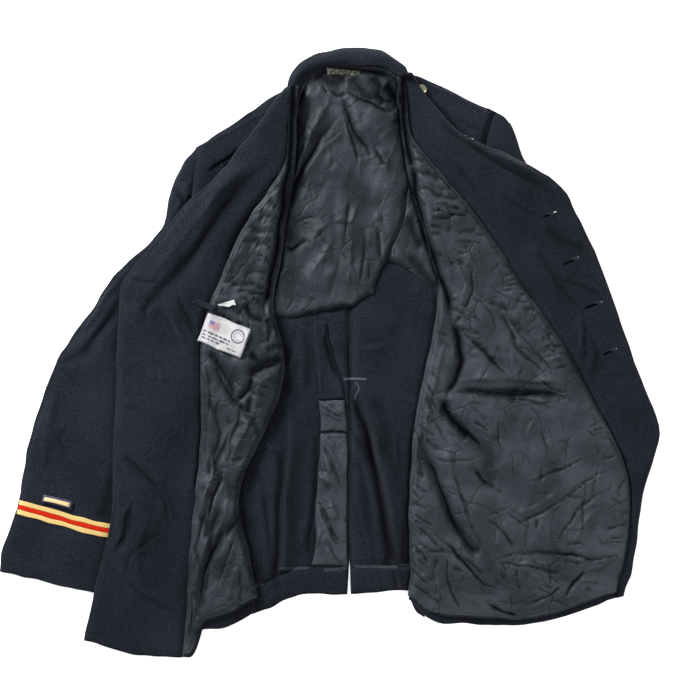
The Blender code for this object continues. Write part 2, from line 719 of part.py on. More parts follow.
def collar():
    """Fall below, stand above, joined at the roll line."""
    ring = {name: np.array(values, float) for name, values in zip(COLLAR_COLUMNS.split(), zip(*COLLAR))}
    neck = np.stack([ring["neck_x"], ring["neck_y"]], 1)
    roll = np.stack([ring["roll_x"], ring["roll_y"]], 1)
    outward = (roll - neck) / np.linalg.norm(roll - neck, axis=1)[:, None]
    neck = neck - outward * COLLAR_OVERLAP
    roll = roll - outward * WOOL_BULGE
    shares = np.array([0, 0.5, 1])
    low_net = neck[:, None] + (roll - neck)[:, None] * shares[None, :, None]
    low = PILE.lay(low_net, WOOL)
    up = PILE.lay(low_net[:, ::-1], WOOL)
    up[:, :, 2] += COLLAR_STAND_RISE * np.array([0.75, 1, 0.25])
    refresh(up, WOOL)
    height = (up[:, 0, 2] - low[:, -1, 2]) / 2
    middle = (up[:, 0, 2] + low[:, -1, 2]) / 2
    radius = np.minimum(height, WOOL_BULGE)
    arcs = []
    for angle in np.arange(1, ARC_STEPS) * math.pi / ARC_STEPS:
        plan_xy = roll + outward * (radius * math.sin(angle))[:, None]
        arcs.append(np.column_stack([plan_xy, middle - height * math.cos(angle)]))
    cloth("collar", np.concatenate([low, np.stack(arcs, 1), up], 1), WOOL, "wool")
    x, y, width, depth = NECK_LABEL
    net = patch_plan((x, y), (width, depth), 0, 4, 1)
    cloth("neck_label", PILE.lay(net, SATIN, close=True), SATIN, "woven")


def patches():
    """The pocket's welt, the labels by it and the sleeve's bar."""
    start, end, width = POCKET_WELT
    net = strip_plan(start, end, width, 3, 1)
    cloth("pocket_welt", PILE.lay(net, WOOL, close=True), WOOL, "wool")
    start, end, width = TAG
    net = strip_plan(start, end, width, 2, 1)
    cloth("size_tag", PILE.lay(net, SATIN, close=True), SATIN, "label")
    net = patch_plan(LABEL_CENTRE, LABEL_SIZE, LABEL_TILT, 3, 2)
    cloth("inside_label", PILE.lay(net, SATIN, close=True), SATIN, "label")


def sleeve_bar():
    net = patch_plan(RIGHT_BAR_CENTRE, BAR_PATCH, BAR_TILT, 2, 1)
    cloth("bar_patch", PILE.lay(net, BRAID, close=True), BRAID, "wool")
    net = patch_plan(RIGHT_BAR_CENTRE, BAR_SIZE, BAR_TILT, 2, 1)
    cloth("service_bar", PILE.lay(net, BRAID, close=True), BRAID, "gold")


def centre_on_origin():
    """Moves the coat so that its box stands on the floor, centred on the origin."""
    graph = bpy.context.evaluated_depsgraph_get()
    corners = []
    for obj in COAT.objects:
        seen = obj.evaluated_get(graph)
        corners += [seen.matrix_world @ Vector(corner) for corner in seen.bound_box]
    low = Vector(min(c[axis] for c in corners) for axis in range(3))
    high = Vector(max(c[axis] for c in corners) for axis in range(3))
    shift = Vector((-(low.x + high.x) / 2, -(low.y + high.y) / 2, -low.z))
    for obj in COAT.objects:
        obj.data.transform(Matrix.Translation(shift))


clear_scene()
COAT = bpy.data.collections.new("dress_tunic")
bpy.context.scene.collection.children.link(COAT)
PILE = Pile()

back_halves()
hem_turns()
vent_pieces()
sleeve("right", RIGHT_SLEEVE, RIGHT_SECTIONS, RIGHT_SLEEVE_HEAD, RIGHT_CUFF, RIGHT_UNDERARM, -1)
sleeve("left", LEFT_SLEEVE, LEFT_SECTIONS, LEFT_SLEEVE_HEAD, LEFT_CUFF, LEFT_UNDERARM, 1)
sleeve_bar()
half_lining()
right_front = Front("right", RIGHT_SECTIONS, RIGHT_HEM, RIGHT_LINING_HEM, -1, RIGHT_FRONT_FOLDS, RIGHT_LINING_FOLDS)
left_front = Front("left", LEFT_SECTIONS, LEFT_HEM, LEFT_LINING_HEM, 1, LEFT_FRONT_FOLDS, LEFT_LINING_FOLDS)
right_front.lay_chest()
left_front.lay_chest()
shoulder_strap("left", LEFT_STRAP)
shoulder_strap("right", RIGHT_STRAP)
for number, spot in enumerate(FRONT_BUTTONS, 1):
    add_button(f"front_button_{number}", spot, FRONT_BUTTON_RADIUS)
right_front.lay_turned()
left_front.lay_turned()
patches()
collar()
bpy.context.view_layer.update()
centre_on_origin()
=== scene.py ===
# %% [markdown]
# # A military dress tunic, opened flat
#
# The coat lies on its back with both fronts turned outwards, so the camera sees its inside: navy wool
# facings, charcoal satin linings and, in the middle, the bare wool of the back. The solids that come with
# the model already have the coat's outline, its layers and its broad folds. This notebook gives them soft
# edges, creases, sewing and finishes. It starts by loading the model, and it keeps the model's box to
# print beside the finished coat's at the end.

# %% Load the model
import math

import bmesh
import bpy
import numpy as np
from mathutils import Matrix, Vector
from mathutils.bvhtree import BVHTree
from mathutils.kdtree import KDTree


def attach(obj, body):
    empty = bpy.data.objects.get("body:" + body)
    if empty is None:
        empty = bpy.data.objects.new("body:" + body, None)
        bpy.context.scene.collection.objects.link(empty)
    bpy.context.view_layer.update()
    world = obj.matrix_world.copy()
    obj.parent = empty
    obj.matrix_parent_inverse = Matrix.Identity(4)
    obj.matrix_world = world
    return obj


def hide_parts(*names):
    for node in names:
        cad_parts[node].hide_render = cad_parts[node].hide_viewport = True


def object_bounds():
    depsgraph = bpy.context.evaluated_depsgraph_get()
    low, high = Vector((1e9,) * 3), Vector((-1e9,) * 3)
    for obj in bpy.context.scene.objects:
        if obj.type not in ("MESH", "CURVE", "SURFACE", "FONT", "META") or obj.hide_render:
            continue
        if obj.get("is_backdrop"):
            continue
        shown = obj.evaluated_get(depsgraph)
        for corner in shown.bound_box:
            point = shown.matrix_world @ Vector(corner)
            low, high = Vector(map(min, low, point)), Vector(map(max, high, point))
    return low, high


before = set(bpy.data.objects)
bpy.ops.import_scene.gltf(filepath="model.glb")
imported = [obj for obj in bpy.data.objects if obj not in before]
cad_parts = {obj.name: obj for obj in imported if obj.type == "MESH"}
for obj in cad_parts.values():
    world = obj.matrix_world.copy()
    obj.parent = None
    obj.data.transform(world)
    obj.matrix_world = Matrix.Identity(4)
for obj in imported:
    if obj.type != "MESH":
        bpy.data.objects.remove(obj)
CAD_LOW, CAD_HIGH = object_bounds()
MM = 0.001
PATTERN = Vector((-1.84, -0.15, 0)) * MM  # where the pattern's own zero lies in the model's frame
ORIGIN = np.array(PATTERN[:2])
print(f"{len(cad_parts)} nodes, {', '.join(f'{s / MM:.0f}' for s in CAD_HIGH - CAD_LOW)} mm")

# %% [markdown]
# ## Finishes
#
# Two cloths make the coat. The wool is a heavy twill, fulled until its face is a short matt nap: almost no
# highlight, a faint diagonal, and small differences in shade from place to place. The lining is a satin
# that has been worn and washed: still smooth, but crumpled all over. Both need a weave, and the braid and
# the labels need one too, so the weave is a node group: two crossed sets of threads that put out a height
# for Bump and a shade. The coat lies flat, so the weave reads Object coordinates from above.

# %% The weave, a group for every cloth


def new_group(name, inputs, outputs):
    """A shader node group with its sockets, as (name, default) pairs for numbers and vectors."""
    group = bpy.data.node_groups.new(name, "ShaderNodeTree")
    for label, value in inputs:
        kind = "NodeSocketVector" if value == "vector" else "NodeSocketFloat"
        socket = group.interface.new_socket(name=label, in_out="INPUT", socket_type=kind)
        if value != "vector":
            socket.default_value = value
    for label in outputs:
        group.interface.new_socket(name=label, in_out="OUTPUT", socket_type="NodeSocketFloat")
    return group, group.nodes.new("NodeGroupInput"), group.nodes.new("NodeGroupOutput")


def join(tree, *pairs):
    for source, target in pairs:
        tree.links.new(source, target)


def math_node(tree, operation, *values, clamp=False):
    node = tree.nodes.new("ShaderNodeMath")
    node.operation = operation
    node.use_clamp = clamp
    for index, value in enumerate(values):
        if isinstance(value, (int, float)):
            node.inputs[index].default_value = value
        else:
            tree.links.new(value, node.inputs[index])
    return node.outputs[0]


def noise_node(tree, place, scale, detail, distortion=0.0):
    node = tree.nodes.new("ShaderNodeTexNoise")
    node.inputs["Scale"].default_value = scale
    node.inputs["Detail"].default_value = detail
    node.inputs["Distortion"].default_value = distortion
    join(tree, (place, node.inputs["Vector"]))
    return node


def build_weave():
    """Threads per metre along two ways, a slant that turns plain weave into twill, and unevenness."""
    sockets = [("Place", "vector"), ("Threads", 900.0), ("Slant", 1.0), ("Unevenness", 0.4)]
    group, inside, outside = new_group("weave", sockets, ["Height", "Shade"])
    place = inside.outputs["Place"]
    split = group.nodes.new("ShaderNodeSeparateXYZ")
    join(group, (place, split.inputs[0]))
    threads = inside.outputs["Threads"]
    slanted = math_node(group, "MULTIPLY", split.outputs["Y"], inside.outputs["Slant"])
    across = math_node(group, "ADD", split.outputs["X"], slanted)
    warp = math_node(group, "SINE", math_node(group, "MULTIPLY", across, threads))
    weft = math_node(group, "SINE", math_node(group, "MULTIPLY", split.outputs["Y"], threads))
    crossed = math_node(group, "MULTIPLY", math_node(group, "ADD", warp, weft), 0.25)
    fuzz = noise_node(group, place, 380, 3).outputs["Fac"]
    centred = math_node(group, "SUBTRACT", fuzz, 0.5)
    uneven = math_node(group, "MULTIPLY", centred, inside.outputs["Unevenness"])
    height = math_node(group, "ADD", math_node(group, "ADD", crossed, 0.5), uneven)
    shade = math_node(group, "ADD", noise_node(group, place, 14, 5).outputs["Fac"], uneven)
    join(group, (height, outside.inputs["Height"]), (shade, outside.inputs["Shade"]))
    return group


WEAVE = build_weave()
print("weave:", len(WEAVE.nodes), "nodes")

# %% [markdown]
# A worn satin is covered with small creases that no table can list: short, nearly straight, and meeting at
# corners, as in a crumpled sheet of paper. The borders between the cells of a Voronoi texture do the same.
# The group bends its coordinates with a noise, keeps the borders only where a slower noise lets them, and
# puts out the crumpled height and the lines of the creases.

# %% The crumple, a group for the satin


def build_crumple():
    sockets = [("Place", "vector"), ("Scale", 24.0), ("Share", 0.5)]
    group, inside, outside = new_group("crumple", sockets, ["Height", "Line"])
    place = inside.outputs["Place"]
    drift = noise_node(group, place, 17, 3)
    mix = group.nodes.new("ShaderNodeVectorMath")
    mix.operation = "MULTIPLY_ADD"
    mix.inputs[1].default_value = (0.035, 0.035, 0.0)
    join(group, (drift.outputs["Color"], mix.inputs[0]), (place, mix.inputs[2]))
    cells = group.nodes.new("ShaderNodeTexVoronoi")
    cells.voronoi_dimensions, cells.feature = "2D", "DISTANCE_TO_EDGE"
    join(group, (mix.outputs[0], cells.inputs["Vector"]), (inside.outputs["Scale"], cells.inputs["Scale"]))
    border = math_node(group, "DIVIDE", cells.outputs["Distance"], 0.06, clamp=True)
    patchy = noise_node(group, place, 31, 2).outputs["Fac"]
    chosen = math_node(group, "SUBTRACT", patchy, math_node(group, "SUBTRACT", 1, inside.outputs["Share"]))
    chosen = math_node(group, "MULTIPLY", chosen, 9, clamp=True)
    line = math_node(group, "MULTIPLY", math_node(group, "SUBTRACT", 1, border), chosen)
    swell = noise_node(group, mix.outputs[0], 38, 4).outputs["Fac"]
    depth = math_node(group, "MULTIPLY", math_node(group, "POWER", line, 1.5), 0.55)
    height = math_node(group, "SUBTRACT", math_node(group, "MULTIPLY", swell, 1.3), depth)
    join(group, (height, outside.inputs["Height"]), (line, outside.inputs["Line"]))
    return group


CRUMPLE = build_crumple()
print("crumple:", len(CRUMPLE.nodes), "nodes")

# %% [markdown]
# A cloth's material mixes a darker and a lighter shade by the weave's shade, and also reads a vertex
# attribute of painted shade: 1 at the bottom of a tight crease, where layers of cloth touch and no light
# gets in, and 0 on open cloth. Satin in a crease looks almost black, and a mesh of this size can't make
# the crease as narrow as it is, so the painted shade in the colour carries the last of it.

# %% Materials for cloth


WEAVE_DEPTH, CRUMPLE_DEPTH = 0.4 * MM, 3 * MM
CRUMPLE_SIZES = ((19.0, 0.56, 1.0), (41.0, 0.50, 0.6))  # cells per metre, share that shows, depth


def new_material(name, rough, values):
    """A material with its tree and its shader, whose other values are named as its sockets are."""
    material = bpy.data.materials.new(name)
    material.use_nodes = True
    shader = material.node_tree.nodes["Principled BSDF"]
    shader.inputs["Roughness"].default_value = rough
    for label, value in values.items():
        shader.inputs[label.replace("_", " ")].default_value = value
    return material, material.node_tree, shader


def group_node(tree, group, **values):
    """A group that reads Object coordinates, with its other inputs."""
    node = tree.nodes.new("ShaderNodeGroup")
    node.node_tree = group
    for label, value in values.items():
        node.inputs[label].default_value = value
    place = tree.nodes.new("ShaderNodeTexCoord").outputs["Object"]
    join(tree, (place, node.inputs["Place"]))
    return node


def bump_node(tree, height, strength, distance, under=None):
    bump = tree.nodes.new("ShaderNodeBump")
    bump.inputs["Strength"].default_value = strength
    bump.inputs["Distance"].default_value = distance
    join(tree, (height, bump.inputs["Height"]))
    if under is not None:
        join(tree, (under, bump.inputs["Normal"]))
    return bump.outputs["Normal"]


def crumpled(tree, strength, darkness):
    """Two sizes of crumple, one bump over the other, each with a faint line of painted shade in its creases.
    """
    normal = None
    for scale, share, deep in CRUMPLE_SIZES:
        folds = group_node(tree, CRUMPLE, Scale=scale, Share=share)
        normal = bump_node(tree, folds.outputs["Height"], strength, CRUMPLE_DEPTH * deep, normal)
        # The crease lines are painted shade, added to the darkening of the colour.
        line = math_node(tree, "POWER", folds.outputs["Line"], 2.0)
        darkness = math_node(tree, "MAXIMUM", darkness, math_node(tree, "MULTIPLY", line, 0.6 * deep))
    return darkness, normal


def cloth_material(name, dark, light, threads, slant, rough, bump, uneven, crumple=0.0, **values):
    material, tree, shader = new_material(name, rough, values)
    weave = group_node(tree, WEAVE, Threads=threads, Slant=slant, Unevenness=uneven)
    ramp = tree.nodes.new("ShaderNodeValToRGB")
    for element, place, colour in zip(ramp.color_ramp.elements, (0.3, 0.75), (dark, light)):
        element.position, element.color = place, (*colour, 1)
    # Painted shade: this vertex attribute darkens the colour towards the shadow shade and dims the highlight.
    painted_shade = tree.nodes.new("ShaderNodeAttribute")
    painted_shade.attribute_name = "painted_shade"
    darkness, normal = painted_shade.outputs["Fac"], None
    if crumple:
        darkness, normal = crumpled(tree, crumple, darkness)
    shadow = tree.nodes.new("ShaderNodeMix")
    shadow.data_type = "RGBA"
    shadow.inputs["B"].default_value = (*(value * 0.08 for value in dark), 1)
    lit = math_node(tree, "SUBTRACT", 1, darkness, clamp=True)
    shine = math_node(tree, "MULTIPLY", lit, values["Specular_IOR_Level"])
    join(
        tree,
        (weave.outputs["Shade"], ramp.inputs["Fac"]),
        (ramp.outputs["Color"], shadow.inputs["A"]),
        (darkness, shadow.inputs["Factor"]),
        (shadow.outputs["Result"], shader.inputs["Base Color"]),
        (bump_node(tree, weave.outputs["Height"], bump, WEAVE_DEPTH, normal), shader.inputs["Normal"]),
        (shine, shader.inputs["Specular IOR Level"]),
    )
    return material


WOOL = cloth_material(
    "navy_wool", (0.0040, 0.0056, 0.0108), (0.0124, 0.0160, 0.0268), 4200, 1.0, 0.92, 0.8, 1.7,
    Specular_IOR_Level=0.2, Sheen_Weight=0.1, Sheen_Roughness=0.5,
)
SATIN = cloth_material(
    "charcoal_satin", (0.0265, 0.0315, 0.0405), (0.0530, 0.0610, 0.0750), 7800, 0.35, 0.54, 0.25, 0.6,
    crumple=0.55, Specular_IOR_Level=0.34,
)
print("materials:", WOOL.name, SATIN.name)

# %% [markdown]
# Braid, buttons and labels need less: one colour each, with a weave for the woven ones.

# %% Materials for trims


def plain_material(name, colour, rough, threads=0, slant=0.0, bump=0.0, **values):
    material, tree, shader = new_material(name, rough, values)
    shader.inputs["Base Color"].default_value = (*colour, 1)
    if threads:
        weave = group_node(tree, WEAVE, Threads=threads, Slant=slant, Unevenness=0.4)
        normal = bump_node(tree, weave.outputs["Height"], bump, WEAVE_DEPTH)
        join(tree, (normal, shader.inputs["Normal"]))
    return material


GOLD = plain_material("gold_braid", (0.80, 0.55, 0.18), 0.5, 5200, 0.8, 0.5, Sheen_Weight=0.2)
CREAM = plain_material("cream_braid", (0.86, 0.66, 0.32), 0.6, 5200, 0.8, 0.5)
SCARLET = plain_material("scarlet_braid", (0.60, 0.020, 0.004), 0.7, 5200, 0.8, 0.5, Specular_IOR_Level=0.1)
BRASS = plain_material("button_metal", (0.62, 0.55, 0.40), 0.3, Metallic=1.0)
LABEL = plain_material("printed_label", (0.52, 0.50, 0.505), 0.6, 6500, 0.0, 0.25)
WOVEN = plain_material("woven_label", (0.014, 0.015, 0.014), 0.6, 5200, 0.0, 0.4)
NECK_THREAD = plain_material("woven_thread", (0.20, 0.20, 0.11), 0.6)
INK = plain_material("printed_ink", (0.085, 0.08, 0.095), 0.7)
FADED_RED = plain_material("faded_red", (0.46, 0.18, 0.21), 0.7)
FADED_WHITE = plain_material("faded_white", (0.60, 0.46, 0.50), 0.7)
FADED_BLUE = plain_material("faded_blue", (0.16, 0.15, 0.29), 0.7)
THREAD = plain_material("dark_thread", (0.0042, 0.0052, 0.0088), 0.8, Specular_IOR_Level=0.1)
SLIT = plain_material("slit", (0.0012, 0.0014, 0.0022), 1.0, Specular_IOR_Level=0.0)
GREY_THREAD = plain_material("grey_thread", (0.055, 0.060, 0.075), 0.8)
WHITE_THREAD = plain_material("white_thread", (0.62, 0.62, 0.60), 0.8)
TAPE = plain_material("hem_tape", (0.019, 0.023, 0.031), 0.8, 5200, 0.6, 0.4)
TACK_THREAD = plain_material("tack_thread", (0.050, 0.064, 0.088), 0.7)
RIBBON = plain_material("ribbon_border", (0.030, 0.024, 0.075), 0.6, 5200, 0.8, 0.4)
print(len(bpy.data.materials), "materials")

# %% [markdown]
# ## Soft copies of the solids
#
# Each solid is a closed sheet with few faces. A copy is welded, its triangles are joined back to squares and
# a Subdivision Surface rounds it. The edges where its top meets its rim keep a crease, so the outline stays
# where it is, and its corners stay sharp. Rounding pulls a surface inwards, so the wool copies' own points
# are first moved outwards by about as much, which brings the rounded surface back near the solid's. The
# modifier is applied, because the next cells move the finer vertices one by one.

# %% Copy and subdivide

RIM_ANGLE, CORNER_ANGLE = math.radians(55), math.radians(128)


def points_in(mesh):
    points = np.empty(len(mesh.vertices) * 3)
    mesh.vertices.foreach_get("co", points)
    return points.reshape(-1, 3)


def add_object(name, data):
    piece = bpy.data.objects.new(name, data)
    bpy.context.scene.collection.objects.link(piece)
    return piece


def shade_smooth(mesh):
    mesh.polygons.foreach_set("use_smooth", np.ones(len(mesh.polygons), bool))


def welded(name):
    """A node's mesh with its doubles merged and its triangles joined to squares."""
    mesh = bmesh.new()
    mesh.from_mesh(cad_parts[name].data)
    bmesh.ops.remove_doubles(mesh, verts=mesh.verts, dist=1e-5)
    bmesh.ops.dissolve_degenerate(mesh, edges=mesh.edges, dist=1e-6)
    bmesh.ops.join_triangles(
        mesh, faces=mesh.faces, angle_face_threshold=0.7, angle_shape_threshold=1.2
    )
    return mesh


def crease_rims(mesh, rim):
    """Crease the edges where the top meets the rim, and keep the corners of the plan sharp."""
    crease = mesh.edges.layers.float.new("crease_edge")
    corner = mesh.verts.layers.float.new("crease_vert")
    for edge in mesh.edges:
        if edge.calc_face_angle(0) > RIM_ANGLE:
            edge[crease] = rim
    for vertex in mesh.verts:
        rims = [edge.other_vert(vertex).co - vertex.co for edge in vertex.link_edges if edge[crease]]
        level = [way.normalized() for way in rims if abs(way.z) < 0.5 * way.length]
        if len(level) == 2 and level[0].angle(level[1]) < CORNER_ANGLE:
            vertex[corner] = 1.0


def rounded(piece):
    bpy.context.view_layer.update()
    graph = bpy.context.evaluated_depsgraph_get()
    return bpy.data.meshes.new_from_object(piece.evaluated_get(graph))


def soft_copy(name, levels, rim=1.0, rounds=2):
    """A rounded copy of a node, whose points are moved outwards in so many rounds."""
    mesh = welded(name)
    crease_rims(mesh, rim)
    data = bpy.data.meshes.new(name + "_soft")
    mesh.to_mesh(data)
    mesh.free()
    piece = add_object(name + "_soft", data)
    subdivide = piece.modifiers.new("soften", "SUBSURF")
    subdivide.levels = subdivide.render_levels = levels
    subdivide.quality = 3
    goal = points_in(data)
    for _ in range(rounds):
        trial = rounded(piece)
        moved = points_in(data) + 0.8 * (goal - points_in(trial)[: len(goal)])
        data.vertices.foreach_set("co", moved.ravel())
        data.update()
        bpy.data.meshes.remove(trial)
    fine = rounded(piece)
    piece.modifiers.clear()
    piece.data = fine
    bpy.data.meshes.remove(data)
    shade_smooth(fine)
    return piece


SATIN_NODES = ("front_lining_left", "front_lining_right", "back_lining_left", "back_lining_right")
WOOL_NODES = (
    "back_left", "back_right", "under_sleeve_left", "under_sleeve_right", "top_sleeve_left",
    "top_sleeve_right", "front_left", "front_right", "facing_left", "facing_right", "collar",
    "hem_turn_left", "hem_turn_right", "vent_underlap", "vent_facing", "vent_facing_top",
    "shoulder_strap_left", "shoulder_strap_right",
)
BACK_NODES = ("back_left", "back_right")
TRIM_NODES = tuple(sorted(set(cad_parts) - set(SATIN_NODES) - set(WOOL_NODES)))
cloth = {}
for name in SATIN_NODES + WOOL_NODES:
    cloth[name] = soft_copy(name, 3, 0.7, 0) if name in SATIN_NODES else soft_copy(name, 2)
print({name: len(piece.data.polygons) for name, piece in cloth.items()})

# %% [markdown]
# ## What can be seen from above
#
# Creases are only worth making where they show, and a layer that lies under another has no room to rise. So
# each vertex gets a weight: 1 where nothing lies above it and 0 where another layer does. Rays cast straight
# up answer that. The seen faces are then cut in four until they are small enough for the creases, the
# satin's smaller than the wool's, and the rays are cast again. The back is cut everywhere, because its two
# halves have to meet along one seam.

# %% Weights by rays from each vertex

UP = Vector((0, 0, 1))
STRAPS = ("shoulder_strap_left", "shoulder_strap_right")
OWN_FOLD, OTHER_LAYER = 2.6 * MM, 0.2 * MM  # how far above a vertex a ray starts


def vertices_of(piece):
    return points_in(piece.data)


def spread_along_edges(piece, values, rounds):
    """Each value becomes the mean of itself and its neighbours', so many times."""
    ends = np.empty(len(piece.data.edges) * 2, int)
    piece.data.edges.foreach_get("vertices", ends)
    ends = ends.reshape(-1, 2)
    both = np.concatenate([ends[:, 0], ends[:, 1]])
    others = np.concatenate([ends[:, 1], ends[:, 0]])
    count = np.bincount(both, minlength=len(values)) + 1.0
    for _ in range(rounds):
        values = (values + np.bincount(both, weights=values[others], minlength=len(values))) / count
    return values


def tree_of(piece):
    return BVHTree.FromPolygons(
        [tuple(point) for point in vertices_of(piece)],
        [tuple(polygon.vertices) for polygon in piece.data.polygons],
    )


def reach_of(piece):
    return vertices_of(piece).min(0), vertices_of(piece).max(0)


trees = {name: tree_of(piece) for name, piece in cloth.items()}
reach = {name: reach_of(piece) for name, piece in cloth.items()}


def seen_from_above(name):
    points = vertices_of(cloth[name])
    others = [
        trees[other] for other in cloth
        if other != name and other not in STRAPS
        and (reach[other][0][:2] < reach[name][1][:2]).all()
        and (reach[other][1][:2] > reach[name][0][:2]).all()
    ]
    seen = np.ones(len(points))
    for index, point in enumerate(points):
        start = Vector(point)
        folded = trees[name].ray_cast(start + UP * OWN_FOLD, UP)[0] is not None
        if folded or any(tree.ray_cast(start + UP * OTHER_LAYER, UP)[0] is not None for tree in others):
            seen[index] = 0
    return seen


def refine(name, size, whole=False):
    """Cut a piece's seen faces, or all, in four until their sides are about that size (mm)."""
    for _ in range(3):
        shown = np.ones(len(cloth[name].data.vertices), bool) if whole else seen_from_above(name) > 0.5
        mesh = bmesh.new()
        mesh.from_mesh(cloth[name].data)
        mesh.verts.index_update()
        mesh.normal_update()
        edges = set()
        for face in mesh.faces:
            if face.calc_area() > (1.45 * size * MM) ** 2 and (whole or face.normal.z > 0.1):
                if all(shown[vertex.index] for vertex in face.verts):
                    edges.update(edge for edge in face.edges if edge.calc_length() > 1.2 * size * MM)
        if edges:
            bmesh.ops.subdivide_edges(mesh, edges=list(edges), cuts=1, use_grid_fill=True)
            mesh.to_mesh(cloth[name].data)
        mesh.free()
        if not edges:
            break
    shade_smooth(cloth[name].data)


CELL_SIDES = {  # mm
    1.45: SATIN_NODES,
    2.3: ("facing_left", "facing_right", "top_sleeve_right", "top_sleeve_left", "collar"),
    2.8: BACK_NODES,
    1.6: ("vent_facing", "vent_facing_top", "vent_underlap", "hem_turn_left", "hem_turn_right"),
}
for side, names in CELL_SIDES.items():
    for name in names:
        refine(name, side, whole=name in BACK_NODES)
seen = {name: seen_from_above(name) for name in cloth}
print({name: (len(cloth[name].data.vertices), round(float(value.mean()), 2)) for name, value in seen.items()})

# %% [markdown]
# ## Listed creases
#
# Every crease is a row: how high or deep it is, how wide, and the points it runs through, all in
# millimetres on the pattern. Negative rows are valleys. The linings are longer and wider than the wool they
# hang in, so the spare satin bunches where the fronts turn back on themselves, at the armholes, and towards
# the hems, and the rows follow that: long deep valleys down each turn, fans of short ones from the arms.

# %% Crease tables of the satin
BACK_LINING_CREASES = [
    (-7, 5, [(-30, 385), (-48, 339)]),
    (-8, 5, [(13, 331), (-14, 302), (-28, 275), (-48, 241), (-60, 199), (-70, 148)]),
    (4, 5, [(17, 311), (-16, 283), (-30, 258), (-43, 236)]),
    (5, 7, [(1, 355), (-24, 311), (-37, 278), (-45, 253)]),
    (-7, 4, [(20, 364), (31, 331), (40, 310), (54, 293), (60, 275)]),
    (3, 4, [(24, 329), (34, 300), (41, 275)]),
    (-3, 4, [(28, 324), (37, 293), (43, 267)]),
    (-4, 4, [(65, 290), (74, 278), (82, 264)]),
    (3, 5, [(71, 291), (84, 270), (84, 253)]),
    (-7, 4, [(24, 376), (45, 361), (64, 354), (82, 345), (108, 346)]),
    (4, 4, [(33, 382), (53, 371), (72, 362)]),
    (-5, 5, [(61, 372), (78, 361), (97, 355)]),
    (-4, 4, [(1, 375), (13, 365), (30, 368)]),
    (-4, 3, [(-10, 382), (1, 368)]),
    (-3, 5, [(31, 220), (26, 192), (24, 153)]),
    (3, 5, [(41, 212), (33, 187), (6, 186)]),
    (-3, 3, [(-44, 187), (-33, 190), (-18, 193)]),
    (-6, 5, [(-65, 153), (-51, 148), (-30, 163)]),
    (4, 7, [(6, 160), (-4, 142), (-18, 124), (-28, 105)]),
    (3, 6, [(3, 187), (-16, 173), (-24, 148)]),
    (-2, 6, [(18, 148), (10, 112), (1, 77)]),
    (-3, 4, [(67, 180), (74, 153), (78, 132)]),
    (-3, 4, [(48, 179), (53, 165), (48, 121), (45, 88)]),
    (2, 4, [(34, 176), (33, 131), (28, 91)]),
    (-2, 4, [(58, 131), (58, 99)]),
    (2, 4, [(88, 162), (78, 131), (70, 105)]),
    (-2, 2.5, [(-47, 78), (-61, 61)]),
    (-3, 4, [(95, 375), (101, 355)]),
]
RIGHT_LINING_CREASES = [
    (-2, 3, [(-97, 219), (-85, 209), (-67, 197)]),
    (-3, 3, [(-77, 237), (-65, 231), (-54, 224)]),
    (2, 4, [(-87, 222), (-68, 214)]),
    (-5, 3, [(-124, 178), (-108, 175), (-94, 172), (-75, 173)]),
    (3, 4, [(-119, 170), (-95, 165), (-78, 166)]),
    (-2, 3, [(-101, 131), (-89, 132), (-75, 128)]),
    (-3, 3, [(-126, 97), (-116, 98), (-84, 95)]),
    (3, 3, [(-124, 91), (-84, 89)]),
    (-4, 3, [(-129, 85), (-109, 88), (-82, 85)]),
    (3, 3, [(-121, 78), (-95, 80)]),
    (-4, 3, [(-129, 74), (-106, 80), (-95, 71)]),
    (-5, 5, [(-163, 65), (-138, 47), (-106, 37)]),
    (6, 9, [(-95, 58), (-75, 34), (-60, 3)]),
    (-8, 6, [(-58, -10), (-84, -17), (-105, -28), (-109, -40)]),
    (4, 7, [(-72, -27), (-95, -38), (-101, -60)]),
    (-3, 4, [(-92, 77), (-87, 51), (-65, 28)]),
    (-6, 5, [(-170, 9), (-153, -18), (-139, -41), (-132, -71)]),
    (4, 5, [(-158, 6), (-136, -17), (-121, -43)]),
    (-3, 4, [(-112, -1), (-95, -14)]),
    (-3, 4, [(-126, -60), (-112, -51), (-98, -62)]),
    (-3, 4, [(-178, 3), (-170, -28), (-166, -64), (-170, -101)]),
    (2, 4, [(-173, -26), (-158, -68), (-152, -108)]),
    (-3, 5, [(-119, -65), (-129, -101), (-143, -136)]),
    (3, 6, [(-104, -80), (-118, -111), (-133, -143)]),
    (-3, 4, [(-138, -108), (-152, -145), (-163, -179)]),
    (-4, 5, [(-146, -165), (-160, -200), (-170, -240)]),
    (3, 5, [(-156, -153), (-173, -196), (-182, -236)]),
    (-3, 4, [(-166, -207), (-180, -250), (-189, -293)]),
    (3, 6, [(-142, -207), (-153, -250), (-166, -281)]),
    (-7, 5, [(-139, -240), (-163, -280), (-176, -314), (-180, -369)]),
    (4, 6, [(-152, -236), (-173, -273), (-186, -312)]),
    (-3, 4, [(-126, -250), (-143, -287), (-155, -335)]),
    (3, 6, [(-116, -281), (-132, -314), (-146, -355)]),
    (-2, 4, [(-119, -314), (-126, -349)]),
    (-3, 4, [(-189, -321), (-192, -364), (-197, -406)]),
    (2, 4, [(-179, -342), (-186, -385)]),
]
